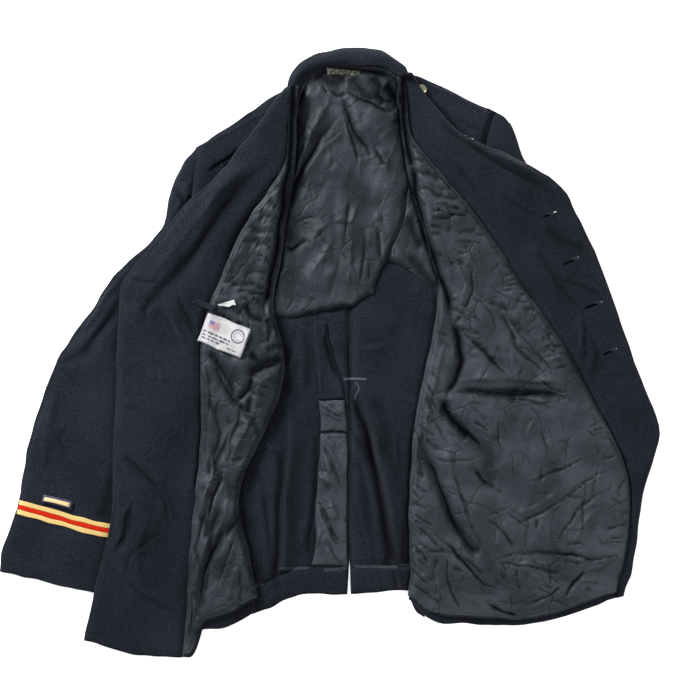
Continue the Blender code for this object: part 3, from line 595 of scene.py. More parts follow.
LEFT_LINING_CREASES = [
    (-9, 6, [(115, 278), (121, 244), (131, 199), (143, 153), (159, 114), (170, 75), (178, 38)]),
    (-7, 4, [(178, 38), (185, 18), (189, -11), (178, -38), (169, -62)]),
    (2, 4, [(116, 271), (146, 260), (166, 254)]),
    (-2, 3, [(114, 260), (139, 251)]),
    (3, 4, [(128, 244), (152, 240), (176, 237)]),
    (-2, 4, [(141, 230), (162, 223), (186, 220)]),
    (3, 3, [(143, 209), (166, 212), (192, 207)]),
    (-5, 3, [(142, 200), (158, 203), (178, 206), (203, 199)]),
    (4, 3, [(146, 195), (175, 200)]),
    (-5, 3, [(139, 189), (153, 192), (180, 197), (203, 193)]),
    (-4, 4, [(141, 180), (158, 179)]),
    (-3, 3, [(207, 182), (220, 185)]),
    (2, 5, [(158, 168), (200, 162), (229, 153)]),
    (-2, 3, [(196, 133), (210, 131), (229, 133)]),
    (2, 6, [(180, 131), (195, 98), (189, 70)]),
    (-2, 4, [(200, 122), (204, 87), (197, 67), (183, 70)]),
    (-3, 3, [(246, 95), (273, 98), (281, 92)]),
    (2, 4, [(243, 88), (271, 82)]),
    (-3, 3, [(277, 64), (304, 60)]),
    (-3, 4, [(179, 38), (197, 33), (217, 27)]),
    (-4, 4, [(180, 34), (200, 23), (219, 4), (237, -16), (258, -34)]),
    (3, 5, [(195, 34), (223, 13), (246, -11)]),
    (-3, 3, [(180, 43), (189, 51)]),
    (-3, 3, [(241, 64), (260, 30), (270, 1)]),
    (2, 4, [(254, 48), (274, 13), (290, -11)]),
    (-3, 3, [(253, 24), (275, 1), (307, -28)]),
    (3, 4, [(267, 28), (293, 3), (317, -26)]),
    (-3, 3, [(264, 34), (288, 10), (320, -28)]),
    (-3, 3, [(295, -31), (315, -50), (346, -57)]),
    (-3, 3, [(318, 33), (308, 17)]),
    (-3, 3, [(311, 33), (300, 17)]),
    (-4, 3, [(318, 10), (334, 13)]),
    (3, 4, [(308, 6), (328, -6), (344, -30)]),
    (-2, 3, [(214, 77), (231, 57), (240, 34)]),
    (2, 4, [(209, 61), (224, 37)]),
    (-9, 6, [(183, -54), (200, -54), (237, -53), (260, -58), (305, -55), (335, -60)]),
    (5, 8, [(187, -37), (243, -34), (307, -38), (345, -43)]),
    (-3, 4, [(243, -62), (285, -65), (311, -74)]),
    (-9, 6, [(169, -60), (160, -81), (175, -95), (197, -111), (214, -128), (231, -145)]),
    (4, 6, [(195, -71), (220, -97), (243, -131)]),
    (-3, 4, [(200, -94), (220, -104), (226, -112)]),
    (-6, 5, [(204, -159), (223, -183), (241, -189)]),
    (3, 6, [(217, -143), (243, -165), (250, -182)]),
    (-3, 3, [(277, -182), (302, -175), (327, -163), (344, -155), (368, -143)]),
    (-3, 3, [(248, -246), (277, -236), (305, -223), (341, -200), (361, -182), (405, -159)]),
    (2, 5, [(256, -231), (300, -212), (335, -187)]),
    (-3, 3, [(322, -273), (334, -247), (355, -220), (375, -202), (398, -190)]),
    (2, 5, [(344, -273), (356, -243), (385, -214)]),
    (-3, 3, [(219, -231), (237, -240), (250, -254), (264, -275)]),
    (2, 5, [(231, -254), (250, -275)]),
    (-4, 4, [(227, -294), (264, -281), (305, -281), (345, -284), (372, -291), (417, -283)]),
    (3, 6, [(243, -302), (285, -294), (337, -298), (390, -302)]),
    (-3, 3, [(236, -295), (283, -300), (317, -308), (337, -314)]),
    (-5, 4, [(335, -346), (346, -321), (366, -300)]),
    (2, 5, [(349, -349), (365, -324)]),
    (-3, 3, [(280, -354), (310, -341), (331, -328)]),
    (-8, 7, [(131, -116), (136, -143), (151, -170), (162, -200), (178, -240), (197, -264), (214, -275)]),
    (5, 5, [
        (170, -143), (179, -182), (187, -209), (199, -246), (214, -270), (230, -297), (250, -324),
        (283, -337),
    ]),
    (-4, 4, [(152, -254), (175, -274), (196, -300), (219, -327), (248, -337)]),
    (-3, 3, [(124, -241), (139, -251), (158, -273)]),
    (-3, 3, [(125, -266), (146, -277), (173, -274)]),
    (-3, 3, [(170, -284), (168, -318), (175, -338), (193, -364)]),
    (3, 5, [(158, -287), (155, -321), (160, -352)]),
    (-5, 5, [(223, -352), (247, -364), (277, -373)]),
    (-2, 3, [(300, -94), (305, -122), (311, -143)]),
    (-2, 3, [(243, -87), (240, -122), (247, -148)]),
    (-3, 3, [(385, -151), (406, -143)]),
    (-3, 3, [(390, -246), (427, -241)]),
    (-2, 3, [(364, -165), (362, -207), (356, -264)]),
    (-3, 4, [(297, -231), (294, -250)]),
    (2, 6, [(271, -108), (285, -165)]),
    (2, 7, [(328, -94), (337, -136)]),
    (3, 7, [(143, -72), (136, -122)]),
    (3, 6, [(165, 13), (152, -37), (139, -80)]),
    (2, 6, [(385, -236), (393, -293)]),
]
print(len(BACK_LINING_CREASES), len(RIGHT_LINING_CREASES), len(LEFT_LINING_CREASES), "creases in the satin")

# %% [markdown]
# Wool creases less, and wider: a roll along each turned edge, a few pulls from the armholes, and pressed
# folds beside the vent. The dark rows aren't heights. They are painted shade: they say where layers of satin
# close over each other so far that the bottom of the crease is black, and they darken the colour there.

# %% Crease tables of the wool, and the dark folds
FACING_RIGHT_CREASES = [
    (-6, 12, [(-87, 268), (-126, 233), (-162, 183), (-190, 141), (-233, 91), (-261, 60)]),
    (4, 12, [(-105, 275), (-148, 233), (-183, 187), (-214, 148), (-254, 102)]),
    (-2, 4, [(-283, 104), (-257, 101), (-233, 98)]),
    (-3, 8, [(-240, 88), (-257, 62), (-254, 41)]),
    (3, 8, [(-229, 80), (-217, 48), (-203, 13), (-189, -16)]),
    (-3, 6, [(-212, 91), (-203, 62), (-189, 34), (-183, 13)]),
    (-2, 3, [(-294, -75), (-274, -77), (-254, -74)]),
    (-1.5, 3, [(-243, -126), (-229, -116), (-216, -102)]),
    (-4, 5, [(-290, -143), (-271, -159), (-254, -176), (-236, -199)]),
    (-2, 4, [(-236, -199), (-227, -219), (-223, -244)]),
    (-5, 7, [(-274, -207), (-281, -229), (-288, -257), (-300, -278)]),
    (-2, 4, [(-223, -246), (-254, -264), (-280, -287), (-287, -314)]),
    (-2, 5, [(-285, -318), (-261, -344), (-233, -361), (-206, -369)]),
    (2, 8, [(-254, -236), (-268, -271), (-268, -314)]),
    (-1.5, 3, [(-285, -26), (-268, -16), (-251, -9)]),
    (-1.5, 3, [(-257, -34), (-240, -38), (-223, -37)]),
]
SLEEVE_RIGHT_CREASES = [
    (-5, 9, [(-285, 91), (-308, 55), (-328, 27), (-346, 3), (-373, -10)]),
    (3, 9, [(-297, 105), (-325, 70), (-346, 34)]),
    (-2, 4, [(-382, -16), (-371, -26), (-356, -37)]),
    (-2, 6, [(-368, -101), (-379, -122), (-368, -143)]),
    (-5, 7, [(-219, 233), (-206, 219), (-197, 202)]),
    (2, 10, [(-382, -37), (-396, -94), (-403, -165)]),
]
FACING_LEFT_CREASES = [
    (-4, 10, [(141, 346), (169, 315), (214, 283), (271, 250), (328, 219)]),
    (3, 8, [(158, 349), (200, 307), (257, 275), (314, 247)]),
    (-2.5, 6, [(172, 275), (193, 247), (217, 224)]),
    (-2, 4, [(239, 230), (271, 207), (300, 190)]),
    (-2, 4, [(307, 183), (325, 162), (364, 142)]),
    (-3, 4, [(311, 122), (331, 106), (364, 94), (393, 77)]),
    (-3, 4, [(293, 148), (317, 112), (337, 84), (356, 60)]),
    (3, 6, [(354, 62), (359, 27), (356, -16)]),
    (-3, 7, [(371, 27), (381, -1), (376, -37)]),
    (-1.5, 3, [(364, 55), (379, 45), (395, 31)]),
    (-1.5, 3, [(385, -94), (396, -82), (408, -71)]),
    (2, 8, [(307, 77), (321, 34), (335, -9)]),
]
BACK_CREASES = [
    (4, 7, [(-55, -65), (-51, -122), (-58, -193), (-61, -293), (-64, -349)]),
    (-4, 4, [(-65, -179), (-70, -250), (-74, -349)]),
    (-3, 3, [(-89, -136), (-75, -143), (-60, -155)]),
    (-2, 2.5, [(-77, -200), (-65, -207), (-58, -213)]),
    (-2, 3, [(-55, -34), (-48, -51), (-43, -61)]),
    (-1.5, 3, [(-53, -80), (-34, -81), (-16, -82)]),
    (-4, 3, [(-23, 45), (-18, -9), (-14, -65)]),
    (-4, 4, [(-16, -122), (-16, -193), (-24, -250), (-27, -293)]),
    (-4, 3, [(-44, 51), (-50, 13), (-61, -23)]),
    (3, 5, [(-37, 34), (-34, -9), (-37, -51)]),
    (-4, 3, [(-6, 41), (0, 6), (7, -20), (20, -38)]),
    (-9, 5, [(23, -43), (41, -71), (55, -108), (65, -151), (78, -229), (92, -304), (104, -349)]),
    (8, 9, [(47, -51), (67, -108), (81, -172), (95, -250), (106, -307)]),
    (-4, 4, [(30, -105), (44, -126), (57, -145)]),
    (2, 4, [(37, -165), (47, -222), (61, -293)]),
    (-2, 3, [(108, -179), (111, -236), (106, -314)]),
    (-2, 4, [(98, -108), (104, -165)]),
    (3, 9, [(16, 20), (51, 6), (87, 13)]),
    (-3, 8, [(-95, -179), (-87, -236), (-81, -293)]),
]
VENT_CREASES = [
    (-4, 2.5, [(-10, -76), (6, -84), (23, -91)]),
    (-5, 3, [(-10, -129), (4, -148), (16, -176), (22, -196)]),
    (-5, 3, [(-20, -176), (-8, -184), (8, -190)]),
    (-7, 3.5, [(-13, -208), (-4, -232), (6, -254), (17, -273)]),
    (-4, 3, [(0, -270), (10, -290), (24, -301)]),
    (3, 4, [(3, -208), (13, -238)]),
    (3, 4, [(-4, -146), (3, -172)]),
    (-3, 2.5, [(-18, -283), (-12, -268), (-8, -252)]),
    (2, 4, [(-14, -245), (-10, -275)]),
    (-3, 2.5, [(-8, -116), (8, -120), (23, -118)]),
]
WOOL_DARK_CREASES = [
    (0.95, 6.5, [(20, -36), (34, -62), (50, -98), (62, -140), (74, -200), (88, -265), (100, -325)]),
    (0.75, 6, [(-65, -120), (-69, -185), (-71, -250), (-75, -345)]),
    (0.75, 5, [(-8, 30), (0, 6), (8, -18), (22, -38)]),
    (0.5, 5, [(-16, -112), (-17, -180), (-24, -250), (-28, -300)]),
    (0.45, 6, [(-50, 40), (-56, 10), (-64, -25), (-58, -60)]),
    (0.8, 3.5, [(-11, -212), (-3, -234), (6, -254), (15, -270)]),
    (0.7, 3, [(-20, -178), (-8, -185), (6, -190)]),
    (0.6, 2.5, [(-8, -130), (4, -149), (14, -172)]),
    (0.55, 8, [(-297, -150), (-306, -178), (-316, -210), (-322, -240)]),
    (0.5, 6, [(-290, -143), (-271, -159), (-254, -176)]),
    (0.4, 8, [(-190, 141), (-233, 91), (-255, 66)]),
    (0.4, 6, [(307, 183), (325, 162), (364, 142)]),
    (0.4, 7, [(293, 148), (317, 112), (337, 84)]),
]
DARK_CREASES = [
    (1, 9, [(-50, 383), (-50, 346), (-50, 311), (-55, 261), (-62, 219), (-68, 176)]),
    (1, 7, [(-55, 261), (-62, 219), (-68, 176), (-76, 126), (-87, 77), (-89, 51)]),
    (1, 9, [(108, 386), (107, 354), (107, 322), (113, 290), (120, 251)]),
    (1, 7, [(113, 290), (120, 251), (131, 190), (147, 141), (165, 91), (179, 38)]),
    (1, 7, [(176, 50), (184, 20), (189, -11), (178, -40), (165, -62)]),
    (1, 9, [(166, -60), (165, -78), (180, -98), (205, -122)]),
    (0.9, 7, [(176, -50), (210, -52), (250, -56), (300, -54), (338, -60)]),
    (0.75, 9, [(131, -116), (136, -143), (151, -175), (165, -210), (180, -245)]),
    (0.9, 6, [(165, -210), (180, -245), (197, -270), (216, -285)]),
    (0.6, 14, [(195, -111), (214, -128), (231, -145), (222, -165), (240, -189)]),
    (1, 17, [(80, 385), (89, 371), (98, 361), (106, 348)]),
    (0.95, 9, [(-40, 398), (-15, 402), (20, 402), (60, 402), (95, 394)]),
    (0.9, 10, [(60, 395), (72, 380), (70, 366), (84, 352)]),
    (0.8, 11, [(33, 395), (41, 383), (55, 366), (70, 358)]),
    (0.8, 11, [(-22, 397), (-4, 388), (13, 384), (30, 392)]),
    (0.7, 9, [(-40, 385), (-45, 365), (-48, 340)]),
    (0.7, 7, [(12, 334), (-12, 304), (-28, 276), (-46, 243), (-60, 199)]),
    (0.6, 6, [(20, 364), (31, 331), (40, 310), (54, 293)]),
    (0.7, 12, [(98, 389), (104, 368), (106, 346)]),
    (0.8, 7, [(-87, 51), (-81, 34), (-87, 13)]),
    (0.7, 8, [(-87, 3), (-70, 9), (-58, 16)]),
    (0.9, 12, [(-58, -4), (-84, -12), (-105, -24), (-109, -40)]),
    (0.75, 9, [(-139, -240), (-163, -280), (-176, -314), (-180, -369)]),
    (0.7, 7, [(-170, 9), (-153, -18), (-139, -41), (-132, -71)]),
    (0.6, 12, [(-65, 190), (-55, 165), (-35, 160)]),
    (0.8, 11, [(112, 197), (121, 173), (136, 148)]),
    (0.8, 11, [(112, 145), (121, 131), (140, 110), (160, 85)]),
    (1, 9, [(-48, 400), (-48, 380), (-49, 350), (-51, 300)]),
    (1, 9, [(108, 402), (106, 380), (106, 340), (110, 300)]),
    (0.9, 4.5, [(-159, -8), (-151, -40), (-131, -70), (-112, -82), (-108, -52)]),
    (0.85, 7, [(-112, 6), (-96, -12), (-108, -37)]),
    (0.8, 4.5, [(-100, -22), (-82, -12), (-62, -4)]),
    (0.9, 6, [(-118, 72), (-108, 54), (-88, 44)]),
    (0.8, 2.2, [(-138, 99), (-112, 97), (-86, 93)]),
    (0.75, 2.2, [(-128, 88), (-108, 87), (-84, 82)]),
    (0.6, 2.2, [(-116, 176), (-96, 173), (-70, 172)]),
    (0.6, 3, [(-112, 214), (-84, 226), (-58, 236)]),
    (0.6, 4, [(-179, -13), (-174, -50), (-172, -89), (-176, -160)]),
    (0.7, 5, [(-120, -82), (-104, -98), (-98, -120)]),
    (0.7, 4, [(-160, -70), (-152, -110), (-160, -150)]),
    (0.8, 5, [(-118, -150), (-112, -190), (-128, -235), (-150, -265)]),
    (0.6, 4, [(-185, -270), (-178, -320), (-186, -380)]),
    (0.9, 5, [(-108, -28), (-112, -52), (-128, -66), (-146, -56)]),
    (0.6, 9, [(-90, 60), (-96, 30), (-84, 12)]),
    (0.7, 4, [(-150, -128), (-158, -160), (-150, -185)]),
    (0.75, 5, [(-150, -208), (-162, -250), (-168, -300), (-176, -350)]),
    (0.6, 4, [(136, -105), (128, -140), (134, -180)]),
    (0.5, 3, [(70, 176), (72, 150), (80, 120)]),
    (0.45, 9, [(10, 240), (6, 200), (8, 160), (4, 110)]),
    (0.5, 5, [(-70, 150), (-52, 152), (-30, 166)]),
    (0.55, 6, [(-40, 300), (-58, 250), (-66, 205)]),
    (0.5, 4, [(28, 186), (8, 185)]),
]
print(len(BACK_CREASES) + len(FACING_LEFT_CREASES) + len(FACING_RIGHT_CREASES), "in the wool")

# %% [markdown]
# A crease falls off sharply at its line and runs out to nothing at both ends, and one of its sides is
# steeper than the other, as cloth that leans over. A valley also pushes up a low shoulder on each side. The
# line wanders a little, because the points are first pushed about by a slow noise: straight stretches
# between listed points then look like cloth.

# %% Height of the creases at any point


def smooth_step(values):
    values = np.clip(values, 0, 1)
    return values * values * (3 - 2 * values)


def waves(flat, seed, wavelength, count=9):
    """A smooth random field from -1 to 1 with about that wavelength, in metres."""
    random = np.random.default_rng(seed)
    total = np.zeros(len(flat))
    for _ in range(count):
        angle = random.uniform(0, 2 * math.pi)
        length = wavelength * random.uniform(0.7, 1.6)
        way = np.array([math.cos(angle), math.sin(angle)]) * 2 * math.pi / length
        total += np.sin(flat @ way + random.uniform(0, 2 * math.pi))
    return total / math.sqrt(count * 2)


def wander(flat, seed, wavelength, far):
    return flat + np.stack(
        [waves(flat, seed, wavelength), waves(flat, seed + 1, wavelength)], axis=1
    ) * far


def in_frame(line):
    """Points of the pattern (mm) as an array of points of the model's plan."""
    return np.array(line, float) * MM + ORIGIN


def distance_to_line(points, line):
    """Distance to a line of points, the side it lies on (-1 or 1) and the share of the way along."""
    path = in_frame(line)
    steps = np.diff(path, axis=0)
    lengths = np.linalg.norm(steps, axis=1)
    best, along = np.full(len(points), np.inf), np.zeros(len(points))
    side, passed = np.ones(len(points)), 0.0
    for start, step, length in zip(path[:-1], steps, lengths):
        way = step / length
        off = points - start
        share = np.clip(off @ way, 0, length)
        gap = np.linalg.norm(off - share[:, None] * way, axis=1)
        closer = gap < best
        best[closer], along[closer] = gap[closer], (passed + share[closer]) / lengths.sum()
        side[closer] = np.sign(way[0] * off[closer, 1] - way[1] * off[closer, 0])
        passed += length
    return best, side, along


def near_line(flat, half, line):
    path, margin = in_frame(line), 5 * half * MM
    return (flat > path.min(0) - margin).all(1) & (flat < path.max(0) + margin).all(1)


def crease_height(flat, rows, sharp, shoulder, lean=0.35):
    """Height of all rows together at each point of the plan, and how much painted shade it gets there."""
    height, painted_shade = np.zeros(len(flat)), np.zeros(len(flat))
    for number, (high, half, line) in enumerate(rows):
        near = near_line(flat, half, line)
        gap, side, along = distance_to_line(flat[near], line)
        taper = smooth_step(along / 0.28) * smooth_step((1 - along) / 0.28)
        uneven = 1 + 0.25 * np.sin(along * 9 + number * 1.7)
        width = half * MM * (0.6 + 0.4 * taper) * uneven * (1 + lean * side * (-1) ** number)
        bell = np.exp(-((gap / width) ** sharp))
        broad = np.exp(-((gap / (2.4 * width)) ** 2))
        beside = shoulder * broad if high < 0 else 0.0
        height[near] += high * MM * (bell - beside) * (0.2 + 0.8 * taper)
        if high < 0:
            core = np.exp(-((gap / (0.6 * width)) ** 2)) * taper
            painted_shade[near] = np.maximum(painted_shade[near], core * min(1, 0.22 - high / 5.5))
    return height, painted_shade


def darkness(flat, rows):
    # Painted shade along the dark rows, up to each row's strength.
    dark = np.zeros(len(flat))
    for strength, half, line in rows:
        near = near_line(flat, half, line)
        gap, _, along = distance_to_line(flat[near], line)
        taper = smooth_step(along / 0.15) * smooth_step((1 - along) / 0.15)
        dark[near] = np.maximum(dark[near], strength * taper * np.exp(-((gap / (half * MM)) ** 2)))
    return dark


# %% [markdown]
# Between the creases a satin lining is never flat. Small creases lie scattered over it, mostly leaning one
# way, and where it is sewn in, its spare length is held in short puckers that start on the seam and run off
# it. Both come from seeded rules, so that they are uneven and yet the same each time. The dictionaries then
# say which rows each piece takes.

# %% Scattered creases and puckers


def scattered_rows(seed, low, high, count, lengths, widths, heights, lean):
    """Short random creases over a box, mostly leaning one way (degrees)."""
    random = np.random.default_rng(seed)
    rows = []
    for _ in range(count):
        x, y = random.uniform(low[0], high[0]), random.uniform(low[1], high[1])
        angle = math.radians(lean + random.normal(0, 38))
        length, bend = random.uniform(*lengths), random.normal(0, 0.5)
        line = []
        for share in np.linspace(-0.5, 0.5, 5):
            turn = angle + bend * share
            line.append((x + length * share * math.cos(turn), y + length * share * math.sin(turn)))
        sign = -1 if random.random() < 0.65 else 1
        rows.append((sign * random.uniform(*heights), random.uniform(*widths), line))
    return rows


def lengths_along(path):
    return np.concatenate([[0], np.cumsum(np.linalg.norm(np.diff(path, axis=0), axis=1))])


def at_station(path, far, station):
    """The point of a path that is so far along it."""
    return [np.interp(station, far, path[:, axis]) for axis in (0, 1)]


def pucker_rows(seed, line, spacing, lengths, heights, turn, spread=14):
    """Short valleys that start on a seam line and run off it, turned by so many degrees."""
    random = np.random.default_rng(seed)
    path = np.array(line, float)
    far = lengths_along(path)
    rows, station = [], random.uniform(0, spacing)
    while station < far[-1] - 2:
        x, y = at_station(path, far, station)
        ahead = at_station(path, far, station + 2)
        angle = math.atan2(ahead[1] - y, ahead[0] - x) + math.radians(turn + random.normal(0, spread))
        length, bend = random.uniform(*lengths), random.normal(0, 0.25)
        steps = [(length * share, angle + bend * share) for share in (-0.15, 0.2, 0.6, 1.0)]
        points = [(x + far_off * math.cos(way), y + far_off * math.sin(way)) for far_off, way in steps]
        rows.append((-random.uniform(*heights), random.uniform(1.8, 3.2), points))
        station += spacing * random.uniform(0.4, 1.7)
    return rows


LEFT_SEAM = [
    (112, 330), (137, 290), (180, 250), (215, 212), (250, 155), (285, 98), (317, 48), (349, -9), (381, -58),
]
LEFT_SEAM_LOW = [(381, -58), (409, -108), (425, -160), (434, -230), (436, -290)]
RIGHT_SEAM = [(-55, 325), (-77, 268), (-105, 212), (-126, 162), (-148, 105), (-176, 62)]
LEFT_ROLL = [(112, 240), (128, 190), (146, 141), (163, 91), (178, 40)]
RIGHT_ROLL = [(-52, 270), (-62, 210), (-72, 150), (-84, 90)]
RIGHT_ROLL_LOW = [(-60, -10), (-72, -50), (-100, -95), (-118, -140), (-112, -200), (-100, -280), (-96, -330)]
LEFT_ROLL_LOW = [(150, -20), (128, -90), (120, -170), (117, -250), (116, -330)]
SATIN_CREASES = {
    "front_lining_left": LEFT_LINING_CREASES
    + pucker_rows(31, LEFT_SEAM, 9, (12, 42), (1.0, 3.2), -118)
    + pucker_rows(32, LEFT_SEAM_LOW, 17, (14, 50), (0.8, 2.2), -80)
    + pucker_rows(33, LEFT_ROLL, 9, (10, 34), (1.2, 3.4), 72)
    + pucker_rows(37, LEFT_ROLL_LOW, 12, (12, 46), (1.4, 3.6), 60)
    + scattered_rows(3, (100, -370), (430, 300), 190, (14, 60), (1.8, 4), (0.6, 2.0), -25),
    "front_lining_right": RIGHT_LINING_CREASES
    + pucker_rows(34, RIGHT_SEAM, 9, (10, 36), (1.4, 3.6), 105)
    + pucker_rows(35, RIGHT_ROLL, 9, (10, 34), (1.4, 3.6), -95)
    + pucker_rows(36, RIGHT_ROLL_LOW, 13, (12, 40), (1.2, 3.4), -70)
    + scattered_rows(5, (-210, -430), (-40, 360), 140, (12, 45), (1.8, 3.8), (0.6, 2.0), 60),
    "back_lining_right": BACK_LINING_CREASES
    + scattered_rows(7, (-90, 50), (115, 400), 60, (14, 60), (2.5, 6), (0.4, 1.5), 70),
    "back_lining_left": BACK_LINING_CREASES
    + scattered_rows(9, (80, 80), (165, 270), 30, (12, 40), (2.5, 4.5), (0.6, 1.8), 60),
}
WOOL_CREASES = {
    "facing_right": FACING_RIGHT_CREASES, "front_right": FACING_RIGHT_CREASES,
    "facing_left": FACING_LEFT_CREASES, "front_left": FACING_LEFT_CREASES,
    "top_sleeve_right": SLEEVE_RIGHT_CREASES, "back_left": BACK_CREASES, "back_right": BACK_CREASES,
    "vent_facing": VENT_CREASES, "vent_facing_top": VENT_CREASES, "vent_underlap": BACK_CREASES,
    "hem_turn_left": BACK_CREASES, "hem_turn_right": BACK_CREASES,
}
print({name: len(rows) for name, rows in SATIN_CREASES.items()})

# %% [markdown]
# ## Raising the cloth
#
# A piece can't rise at its rim, where it is sewn or lies on the next layer, so the height is faded by the
# distance to the rim. A turned edge looks like a rim from the side and isn't one: cloth goes on beyond it.

# %% Distance to the rim

SKY, GROUND = 0.2, -0.01  # heights that rays start from, above and below everything
RIM_STEEP, RIM_STEP = 0.35, 2.2 * MM


def first_below(tree, x, y, start=SKY):
    return tree.ray_cast(Vector((x, y, start)), -UP)[0]


def first_above(tree, x, y):
    return tree.ray_cast(Vector((x, y, GROUND)), UP)[0]


def plan_lookup(points):
    """A tree that finds the nearest of some points in plan."""
    lookup = KDTree(len(points))
    for index, point in enumerate(points):
        lookup.insert((point[0], point[1], 0), index)
    lookup.balance()
    return lookup


def rim_distance(piece, tree):
    """Distance of each vertex to the piece's rim, in plan. A steep face with the piece's own cloth just
    outside it is a fold and not its rim."""
    points = vertices_of(piece)
    rim = []
    for polygon in piece.data.polygons:
        normal = polygon.normal
        if abs(normal.z) > RIM_STEEP:
            continue
        outside = polygon.center + Vector((normal.x, normal.y, 0)).normalized() * RIM_STEP
        if first_below(tree, outside.x, outside.y) is None:
            corners = points[list(polygon.vertices)][:, :2]
            for start, end in zip(corners, np.roll(corners, 1, axis=0)):
                cuts = max(1, round(float(np.linalg.norm(end - start)) / MM))
                rim += [start + (end - start) * cut / cuts for cut in range(cuts)]
    if not rim:
        return np.full(len(points), 1.0)
    lookup = plan_lookup(rim)
    return np.array([lookup.find((x, y, 0))[2] for x, y, _ in points])


print("rays start", SKY, "m up")

# %% [markdown]
# The satin puffs up everywhere except along its seams, which leaves depth for the valleys, and a valley
# stops just above its own solid's surface. That keeps most of it off the layer beneath, but the layers rise
# one by one and nothing pushes them apart, so in a few places they still cut into each other. The wool rolls
# and creases less. Both also say how much painted shade each point gets, for the finish. A piece's two faces
# rise together, so a wall keeps its thickness.

# %% How far each cloth rises

PUFF, PUFF_FADE, LEAST = 4.2 * MM, 8 * MM, 0.15 * MM
FULLNESS = {"front_lining_right": 1.4}  # this lining bunches most, the others take OTHER_FULLNESS
OTHER_FULLNESS, WOOL_DEPTH, WOOL_HOLLOW = 1.1, 1.35, 0.6
DEPTH = {  # how shaded the open satin is
    "front_lining_left": 0.0, "front_lining_right": 0.2, "back_lining_right": 0.18, "back_lining_left": 0.2,
}


def satin_rise(name, flat, edge):
    placed = wander(flat, 11, 0.045, 0.0012)
    placed = wander(placed, 17, 0.014, 0.0005)
    high, painted_shade = crease_height(placed, SATIN_CREASES[name], 1.25, 0.45)
    soft = 1.2 * waves(flat, 21, 0.055) + 0.6 * waves(flat, 23, 0.022)
    inner = smooth_step(edge / PUFF_FADE)
    dark = darkness(placed, DARK_CREASES)
    fuller = FULLNESS.get(name, OTHER_FULLNESS)
    rise = fuller * ((1 - 0.85 * dark) * inner * (PUFF + soft * MM + high)).clip(LEAST, None)
    # The second value is painted shade: the bottoms of the creases, the dark rows and a broad, uneven shading
    # of the open satin.
    open_shade = DEPTH[name] + 0.30 * smooth_step(0.5 + 0.8 * waves(flat, 71, 0.06))
    return rise, np.maximum(np.maximum(painted_shade * inner, dark), open_shade)


def wool_rise(name, flat, edge):
    fade = smooth_step(edge / ((4 if name.startswith("vent") else 9) * MM))
    placed = wander(flat, 41, 0.06, 0.0012)
    high, painted_shade = crease_height(placed, WOOL_CREASES.get(name, []), 1.5, 0.9)
    body = 2.4 if name.startswith("back") else 1.5
    soft = body + 0.8 * waves(flat, 31, 0.14) + 0.3 * waves(flat, 33, 0.05)
    rise = (fade * (soft * MM + WOOL_DEPTH * high)).clip(0, None)
    # The second value is painted shade in the creases and along the dark folds, which also sink the cloth a
    # little.
    dark = darkness(placed, WOOL_DARK_CREASES) * fade
    return (1 - WOOL_HOLLOW * dark) * rise, np.maximum(WOOL_HOLLOW * painted_shade * fade, dark)


print("satin puffs up", PUFF / MM, "mm")

# %% [markdown]
# No edge of worn cloth is a clean curve. All pieces share one small wander, and a few corners are nudged to
# where the cloth is held: the top corners of the fronts to the collar, and the corners of the part lining's
# ragged lower edge.

# %% Outlines

LEFT_TOP, RIGHT_TOP = [((116, 390), 28, (-2, 7, 0))], [((-52, 386), 27, (3, 3, -8))]
NUDGES = {
    # piece: where on the pattern, how far round it, and how far it moves (mm)
    "back_lining_right": [
        ((-79, 52), 16, (-5, -5, 0)), ((30, 78), 14, (4, -4, 0)), ((62, 92), 10, (3, -7, 0)),
        ((-10, 60), 14, (0, 2, 0)), ((74, 100), 7, (-2, 5, 0)),
    ],
    "collar": [((116, 396), 9, (-2, -3, 0))], "top_sleeve_left": [((227, 324), 26, (-3, 0, 0))],
    "front_left": LEFT_TOP, "facing_left": LEFT_TOP, "front_lining_left": LEFT_TOP,
    "front_right": RIGHT_TOP, "facing_right": RIGHT_TOP, "front_lining_right": RIGHT_TOP,
}


def bend_outline(name, points):
    flat = wander(wander(points[:, :2], 51, 0.034, 0.0008), 61, 0.12, 0.0012)
    bent = np.concatenate([flat, points[:, 2:]], axis=1)
    for place, far, shift in NUDGES.get(name, []):
        gap = np.linalg.norm(points[:, :2] - ORIGIN - np.array(place) * MM, axis=1)
        bent += smooth_step(1 - gap / (far * MM))[:, None] * np.array(shift) * MM
    return bent


print(len(NUDGES), "pieces nudged")

# %% [markdown]
# The back's two halves are sewn together down the middle as far as the vent's mouth, so their edges close on
# one line, and the left half, whose edge stands a few millimetres higher, is laid down beside it.
#
# Wherever a point ends lower than the cloth round it, it also gets a little painted shade.

# %% Close the back seam, and raise every piece

SEAM_LINE, VENT_MOUTH, SEAM_GAP, SEAM_REACH = 29.5, -295, -0.08, 16  # mm on the pattern
rises = {}


def set_points(piece, points):
    piece.data.vertices.foreach_set("co", points.ravel())
    piece.data.update()


def close_seam(name, points):
    """Move a back half's points to the seam, and return how near each is to it (0 to 1)."""
    flat = (points[:, :2] - ORIGIN) / MM
    beside = (np.abs(flat[:, 0] - SEAM_LINE) < 0.6) & (flat[:, 1] > VENT_MOUTH)
    points[beside, 0] = PATTERN.x + (SEAM_LINE + SEAM_GAP * (1 if name == "back_left" else -1)) * MM
    if name == "back_left":
        for index in np.flatnonzero(flat[:, 0] < SEAM_LINE + SEAM_REACH):
            x, y, _ = points[index] + (0.4 * MM, 0, 0)
            under = first_above(trees[name], x, y)
            near = smooth_step(1 - (flat[index, 0] - SEAM_LINE) / SEAM_REACH)
            points[index, 2] -= near * (under.z if under else 0)
    return np.exp(-(((flat[:, 0] - SEAM_LINE) / 1.3) ** 2)) * (flat[:, 1] > VENT_MOUTH)


def fill_grooves(piece, points, shown):
    """Lift what is seen of a groove towards the cloth beside it."""
    for _ in range(3):
        smooth = spread_along_edges(piece, points[:, 2], 10)
        points[:, 2] += 0.9 * shown * (smooth - points[:, 2]).clip(0, None)
    return points


